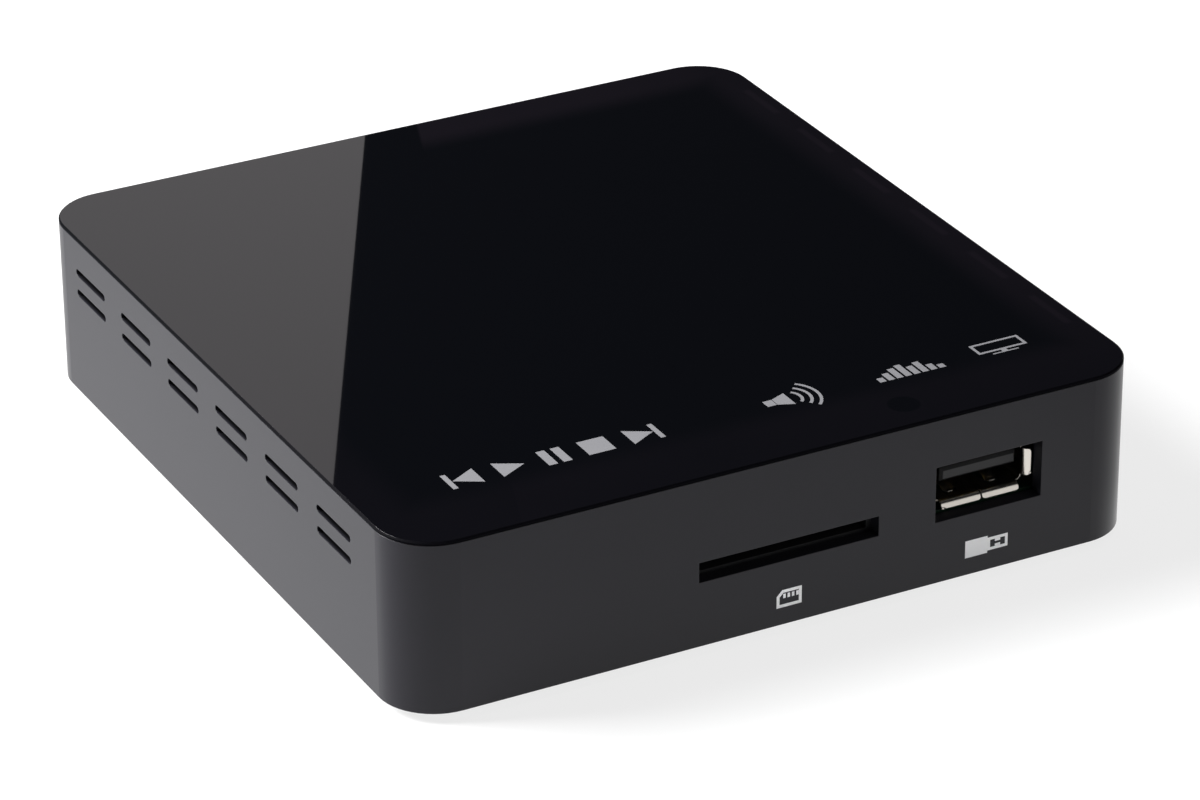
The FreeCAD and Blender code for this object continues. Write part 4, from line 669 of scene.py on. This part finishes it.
cast_grey = grained("cast_grey", (0.42, 0.42, 0.43), 0.5, 0.35, 0.01, metallic=0.9)
lid_steel = grained("lid_steel", (0.46, 0.46, 0.48), 0.42, 0.15, 0.001,
                    metallic=0.7, spread=(1, 0.08, 1))
drive_green = grained("drive_green", (0.006, 0.06, 0.035), 0.35, 0.4, 0.002)
dress(cast_grey, "drive_base")
dress(lid_steel, "drive_lid")
lid_places = [(x, y) for x in (-45.15, 16.7) for y in (-45.6, 46.4)] + [(-45.15, 4.4), (16.7, -3.6)]
lid_seat = 21.27
screw_set("drive_screw_set", "drive_screws", lid_places, lid_seat, 1, zinc, "tray", "zinc_screw",
          radius=1.8, height=0.46, shank=0.9, length=2.4)
dress(drive_green, "drive_board")
dress(socket_black, "drive_plug", "sata_socket")


# ------------------------------------------------------------------ drive cage and tray
# Galvanised sheet cage on brass standoffs; the tray, its bezel and handle are moulded in the
# black of the case, with a steel pin through the handle's barrel.

galvanised = grained("galvanised", (0.58, 0.58, 0.6), 0.38, 2.5, 0.003, wear=0.3, metallic=1.0)
brass = grained("brass", (0.62, 0.5, 0.28), 0.3, 0.2, 0.002, metallic=1.0)
tray_black = grained("tray_black", (0.012, 0.012, 0.0135), 0.5, 0.25, 0.004)
dress(galvanised, "drive_cage")
dress(brass, "cage_standoffs")
dress(zinc, "handle_pin")
cage_places = [(x, y) for x in (-46.2, 18.05) for y in (-21.4, 34.4)]
cage_seat = 8.7
screw_set("cage_screw_set", "cage_screws", cage_places, cage_seat, -1, zinc, "case", "zinc_screw",
          radius=1.8, height=0.88, shank=0.98, length=4.4)
dress(tray_black, "drive_tray")


def satin_black(name):
    """The black of the case: a fine eroded grain with little gloss."""
    material = grained(name, (0.0108, 0.0105, 0.0138), 0.34, 0.16, 0.0012, wear=0.04)
    shader = material.node_tree.nodes["Principled BSDF"]
    shader.inputs["Specular IOR Level"].default_value = 0.16
    return material


dress(satin_black("case_black"), "tray_bezel", "tray_handle")


# ------------------------------------------------------------------ body shell
# One moulded frame in satin black, its four walls rounded into each other, with pairs of
# round-ended vents in both sides, two openings in the front and printed marks.

# The vents' pairs are counted from the front, by the place of each pair's middle.
wall_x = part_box("body_shell")[1].x / mm
first_vent, vent_pitch, vent_pairs = -36.54, 15.2, 6
vents_middle = first_vent + vent_pitch * (vent_pairs - 1) / 2


def shell_black_vent_shade():
    """The case's black, with painted shade on the moulded sides of the vents.

    The painted shade's share is one inside the walls' outer faces, over the length of the vent rows,
    and nought elsewhere, with a smooth step between."""
    skin, deep, row_half, blend = 0.05, 0.5, 44.0, 0.5
    material = satin_black("shell_black_vent_shade")
    tree = material.node_tree
    shader = tree.nodes["Principled BSDF"]
    sum_of, ramp = maths(tree)
    _, (x, y, _) = places_in(tree)
    inside = ramp(sum_of("ABSOLUTE", x), (wall_x - deep) * mm, (wall_x - skin) * mm, 1.0, 0.0)
    off_middle = sum_of("ABSOLUTE", sum_of("SUBTRACT", y, vents_middle * mm))
    # This mix paints shade on the vents' sides, where the walls' inner faces would be unlit.
    painted_vent_shade = tree.nodes.new("ShaderNodeMix")
    painted_vent_shade.data_type = "RGBA"
    at_row = ramp(off_middle, row_half * mm, (row_half + blend) * mm, 1.0, 0.0)
    share = sum_of("MULTIPLY", inside, at_row)
    tree.links.new(share, painted_vent_shade.inputs[0])
    tree.links.new(shader.inputs["Base Color"].links[0].from_socket, painted_vent_shade.inputs[6])
    # The colour of the painted shade inside the vents.
    painted_vent_shade.inputs[7].default_value = (0.001, 0.001, 0.0013, 1)
    tree.links.new(painted_vent_shade.outputs[2], shader.inputs["Base Color"])
    return material


dress(shell_black_vent_shade(), "body_shell")


def print_ink(name, colour):
    """Screen printed ink: a slightly rough film with small gaps in its pigment."""
    return grained(name, colour, 0.45, 0.08, 0.001, wear=0.12, soften=0.0)


def printed(name, shapes, at, ink, body, slot):
    """A thin layer of ink. A shape is a closed line of points, or two such lines for a ring.

    A filled shape gives one face and its wall. A ring gives a strip of faces between its lines.
    at puts two distances on the surface and a height over it in space."""
    film = 0.012
    points, faces = [], []
    for shape in shapes:
        ring = isinstance(shape, tuple)
        lines = [np.asarray(line, float) for line in (shape if ring else (shape,))]
        count, base = len(lines[0]), len(points)
        for height in (film, 0.0):
            for line in lines:
                points += np.stack(at(line[:, 0], line[:, 1], np.full(count, height)), 1).tolist()
        lift = count * len(lines)
        k, after = np.arange(count), (np.arange(count) + 1) % count
        faces += (np.stack([after, k, k + lift, after + lift], 1) + base).tolist()
        if ring:
            faces += (np.stack([k, after, after + count, k + count], 1) + base).tolist()
            faces += (np.stack([k + count, after + count, after, k], 1) + base + lift).tolist()
            inner = np.stack([k + count, after + count, after + count + lift, k + count + lift], 1)
            faces += (inner + base).tolist()
        else:
            faces += [(k + base).tolist(), (k[::-1] + base + lift).tolist()]
    piece = placed(name, points, faces, ink, body, slot)
    piece.data.polygons.foreach_set("use_smooth", [False] * len(piece.data.polygons))
    return piece


def box_line(x0, x1, y0, y1):
    """A rectangle's four corners."""
    return [(x0, y0), (x1, y0), (x1, y1), (x0, y1)]


def shrunk(line, by):
    """A convex line drawn in by a distance: each corner moves along its two sides' normals' sum."""
    points = np.asarray(line, float)
    ahead, behind = np.roll(points, -1, 0) - points, points - np.roll(points, 1, 0)
    n1 = np.stack([-ahead[:, 1], ahead[:, 0]], 1) / np.linalg.norm(ahead, axis=1, keepdims=True)
    n0 = np.stack([-behind[:, 1], behind[:, 0]], 1) / np.linalg.norm(behind, axis=1, keepdims=True)
    bisector = (n0 + n1) / (1 + (n0 * n1).sum(1, keepdims=True))
    return (points + bisector * by).tolist()


def round_line(x, y, radius, start, end, count):
    """Points on an arc, its angles in degrees."""
    angle = np.radians(np.linspace(start, end, count))
    return list(zip(x + radius * np.cos(angle), y + radius * np.sin(angle)))


def arc_band(x, y, radius, width, start, end):
    """A band of an arc between two angles, as one closed line."""
    outer = round_line(x, y, radius + width / 2, start, end, 15)
    inner = round_line(x, y, radius - width / 2, end, start, 15)
    return outer + inner


def round_box_line(x0, x1, y0, y1, radius):
    """A rectangle with round corners, eight points to a corner."""
    line = []
    for x, y, start in ((x1, y1, 0), (x0, y1, 90), (x0, y0, 180), (x1, y0, 270)):
        angle = np.radians(np.linspace(start, start + 90, 8))
        cx = x - math.copysign(radius, x - (x0 + x1) / 2)
        cy = y - math.copysign(radius, y - (y0 + y1) / 2)
        line += list(zip(cx + radius * np.cos(angle), cy + radius * np.sin(angle)))
    return line


white_ink = print_ink("white_ink", (0.95, 0.95, 0.96))
front_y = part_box("body_shell")[0].y / mm


def on_front(a, b, h):
    """Across and up on the front face."""
    return a, front_y - h, b


# Under the front openings: a card with a cut corner and four contacts, and a plug.
card_line = [(-1.30, 3.85), (2.30, 3.85), (2.30, 6.30), (-0.50, 6.30), (-1.30, 5.50)]
card_shape = [(card_line, shrunk(card_line, 0.42))]
card_shape += [box_line(x, x + 0.36, 5.1, 5.72) for x in (-0.36, 0.26, 0.88, 1.5)]
printed("card_mark", card_shape, on_front, white_ink, "case", "shell_plastic")

plug_body = box_line(26.1, 29.4, 3.82, 6.27)
plug_tip = box_line(29.4, 32.4, 4.12, 5.97)
plug_shape = [plug_body, (plug_tip, shrunk(plug_tip, 0.4))]
plug_shape += [box_line(30.5, 31.3, 5.22, 5.56), box_line(30.5, 31.3, 4.53, 4.87)]
printed("plug_mark", plug_shape, on_front, white_ink, "case", "shell_plastic")

rear_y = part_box("body_shell")[1].y / mm


def on_rear(a, b, h):
    """Across, seen from behind, and up on the rear face."""
    return -a, rear_y + h, b


# Signs below the power socket (a ring round its pin, minus and plus) and below the two signal
# sockets (a ring and a square, each with a dot).
power_x, sign_z = 38.0, 3.9
power = [arc_band(power_x, sign_z, 0.8, 0.24, 40, 320), round_line(power_x, sign_z, 0.3, 0, 330, 12),
         box_line(38.4, 39.9, 3.8, 4.0), box_line(36.1, 37.2, 3.8, 4.0),
         box_line(40.3, 41.5, 3.8, 4.0), box_line(40.8, 41.0, 3.3, 3.8),
         box_line(40.8, 41.0, 4.0, 4.5), box_line(34.5, 35.7, 3.8, 4.0)]
ring_x, square_x = 22.0, 9.0
signal = [(round_line(ring_x, sign_z, 0.95, 0, 340, 18), round_line(ring_x, sign_z, 0.7, 0, 340, 18)),
          round_line(ring_x, sign_z, 0.35, 0, 330, 12),
          (box_line(8.1, 9.9, 3.0, 4.8), box_line(8.35, 9.65, 3.25, 4.55)),
          round_line(square_x, sign_z, 0.35, 0, 330, 12)]

# Above the video socket a screen on its foot, and above the reset hole a turned arrow.
glass = box_line(-33.4, -28.6, 17.9, 20.7)
picture = [(glass, shrunk(glass, 0.3)),
           box_line(-31.3, -30.7, 17.5, 17.9), box_line(-32.2, -29.8, 17.2, 17.5)]
reset_x = -41.2
turned = [arc_band(reset_x, 16.0, 0.9, 0.24, 70, 350),
          [(reset_x + 0.15, 16.3), (reset_x + 0.95, 16.85), (reset_x + 0.15, 17.4)]]
rear_shapes = power + signal + picture + turned
printed("rear_marks", rear_shapes, on_rear, white_ink, "case", "shell_plastic")

# On the tray's bezel a hard disk: its case, its platter and two short bars.
platter_x, platter_z = 39.3, 17.6
disk = [(round_box_line(36.6, 43.4, 15.6, 19.6, 0.6), round_box_line(36.9, 43.1, 15.9, 19.3, 0.4)),
        (round_line(platter_x, platter_z, 1.25, 0, 345, 24),
         round_line(platter_x, platter_z, 1.0, 0, 345, 24)),
        round_line(platter_x, platter_z, 0.3, 0, 330, 12),
        box_line(41.4, 42.4, 16.5, 16.75), box_line(41.4, 42.4, 17.2, 17.45)]
printed("disk_mark", disk, on_rear, white_ink, "tray", "bezel_plastic")


# ------------------------------------------------------------------ top panel
# Smoked gloss acrylic, taped onto a black ledge that shows faintly through it along the sides.
# A dark lens lies under it over the infrared receiver, and silver signs are printed on it.

lens_low, lens_high = (np.array(v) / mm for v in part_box("ir_window"))
lens_x, lens_y = (lens_low[0] + lens_high[0]) / 2, (lens_low[1] + lens_high[1]) / 2
top_z = cad_box[1].z / mm


def smoked_acrylic():
    """Gloss black with what shows through it: a faint ledge, a dark dot, and light from the vents.

    The ledge is where the larger of the two distances past the opening's sides is above zero. It
    shows more towards the rear right, and less left of a slanting line. The dot and the ring round
    it come from the distance to the lens. The bars of light lie inside the right wall, one at each
    pair of vents: a ping-pong of the depth place gives the distance to the nearest pair. Below the
    gloss face the sawn rim is matt."""
    material, tree, shader = nodes_of("smoked_acrylic")
    shader.inputs["IOR"].default_value = 1.49
    link, new = tree.links.new, tree.nodes.new
    sum_of, ramp = maths(tree)
    place, (x, y, z) = places_in(tree)

    opening_x, opening_y, opening_middle = 48.0 * mm, 48.6 * mm, 1.6 * mm
    past_x = sum_of("SUBTRACT", sum_of("ABSOLUTE", x), opening_x)
    past_y = sum_of("SUBTRACT", sum_of("ABSOLUTE", sum_of("SUBTRACT", y, opening_middle)), opening_y)
    ledge = ramp(sum_of("MAXIMUM", past_x, past_y), -4.0 * mm, 1.6 * mm, 0.0, 1.0)
    toward_rear = ramp(sum_of("ADD", x, y), -20 * mm, 60 * mm, 0.38, 1.0)
    slant = 0.364
    aslant = sum_of("SUBTRACT", x, sum_of("MULTIPLY", y, slant))
    right_of = ramp(aslant, -16.6 * mm, -16.0 * mm, 0.0, 0.86)
    begun = sum_of("MAXIMUM", right_of, ramp(y, -30.0 * mm, 30.0 * mm, 0.65, 0.0))
    slow = new("ShaderNodeTexNoise")
    slow.inputs["Scale"].default_value = 28.0
    slow.inputs["Detail"].default_value = 3.0
    link(place, slow.inputs["Vector"])
    cloud = ramp(slow.outputs["Fac"], 0.3, 0.7, 0.6, 1.0)
    band = sum_of("MULTIPLY", sum_of("MULTIPLY", sum_of("MULTIPLY", ledge, toward_rear), cloud), begun)

    bar_x, bar_half, bars_end = 50.2 * mm, 0.45 * mm, 43.0 * mm
    into_bar = sum_of("SUBTRACT", sum_of("ABSOLUTE", sum_of("SUBTRACT", x, bar_x)), bar_half)
    from_first = sum_of("ADD", y, (8 * vent_pitch - first_vent) * mm)
    along = sum_of("PINGPONG", from_first, vent_pitch / 2 * mm)
    off_middle = sum_of("ABSOLUTE", sum_of("SUBTRACT", y, vents_middle * mm))
    at_vent = sum_of("MULTIPLY", ramp(along, 4.0 * mm, 5.0 * mm, 1.0, 0.0),
                     ramp(off_middle, bars_end, bars_end + 0.5 * mm, 1.0, 0.0))
    light_bar = sum_of("MULTIPLY", ramp(into_bar, -0.2 * mm, 0.3 * mm, 0.45, 0.0), at_vent)

    to_lens = new("ShaderNodeVectorMath")
    to_lens.operation = "DISTANCE"
    link(place, to_lens.inputs[0])
    to_lens.inputs[1].default_value = (lens_x * mm, lens_y * mm, top_z * mm)
    dot = ramp(to_lens.outputs["Value"], 1.9 * mm, 2.3 * mm, 0.0, 1.0)
    ring = ramp(to_lens.outputs["Value"], 2.3 * mm, 6.0 * mm, 0.3, 0.0)
    pale = sum_of("ADD", sum_of("MULTIPLY", dot, sum_of("MAXIMUM", band, ring)), light_bar)
    tint = new("ShaderNodeMix")
    tint.data_type = "RGBA"
    link(pale, tint.inputs[0])
    tint.inputs[6].default_value = (0.0011, 0.00125, 0.0019, 1)
    tint.inputs[7].default_value = (0.0038, 0.0031, 0.0046, 1)
    link(tint.outputs[2], shader.inputs["Base Color"])

    rim, face = (top_z - 0.006) * mm, (top_z - 0.001) * mm
    link(ramp(z, rim, face, 0.55, 0.012), shader.inputs["Roughness"])
    link(ramp(z, rim, face, 0.012, 0.5), shader.inputs["Specular IOR Level"])
    return material


dress(smoked_acrylic(), "top_panel")
tape_black = grained("tape_black", (0.02, 0.02, 0.02), 0.7, 0.3, 0.003)
dress(tape_black, "panel_tape")
lens_dark = grained("lens_dark", (0.006, 0.003, 0.004), 0.08, 0.3, 0.0002)
dress(lens_dark, "ir_window")


def on_top(a, b, h):
    """Across and back on the top panel."""
    return a, b, top_z + h


# Transport signs in silver ink along the front edge: back, play, pause, stop and on.
silver_ink = print_ink("silver_ink", (0.138, 0.138, 0.147))
near, far = -44.35, -40.45
middle = (near + far) / 2
signs = [box_line(-39.9, -39.2, near, far), [(-39.1, middle), (-35.6, near), (-35.6, far)],
         [(-33.0, near), (-29.3, middle), (-33.0, far)],
         box_line(-26.8, -25.6, near, far), box_line(-24.8, -23.6, near, far),
         box_line(-21.2, -17.5, near + 0.1, far - 0.1),
         [(-14.9, near), (-11.4, middle), (-14.9, far)], box_line(-11.3, -10.6, near, far)]
printed("transport_signs", signs, on_top, silver_ink, "case", "smoked_acrylic")

# Three small signs near the right corner: sound, level bars and screen.
near, far = -44.3, -41.0
middle = (near + far) / 2
horn = [(5.8, middle - 0.8), (7.9, near), (7.9, far), (5.8, middle + 0.8)]
sound = [box_line(4.4, 5.7, middle - 0.75, middle + 0.75), horn]
sound += [arc_band(7.6, middle, radius, 0.42, -48, 48) for radius in (1.9, 3.1, 4.3)]
printed("sound_sign", sound, on_top, silver_ink, "case", "smoked_acrylic")

shares = (0.35, 0.6, 0.85, 1.0, 0.7, 0.9, 0.5, 0.3)
bars = [box_line(20.2 + 1.25 * k, 21.1 + 1.25 * k, near, near + (far - near) * share)
        for k, share in enumerate(shares)]
printed("level_sign", bars, on_top, silver_ink, "case", "smoked_acrylic")

glass = box_line(35.2, 42.4, near + 0.75, far + 0.15)
screen = [(glass, shrunk(glass, 0.4)),
          box_line(38.4, 39.2, near + 0.25, near + 0.75), box_line(36.9, 40.7, near, near + 0.25)]
printed("screen_sign", screen, on_top, silver_ink, "case", "smoked_acrylic")
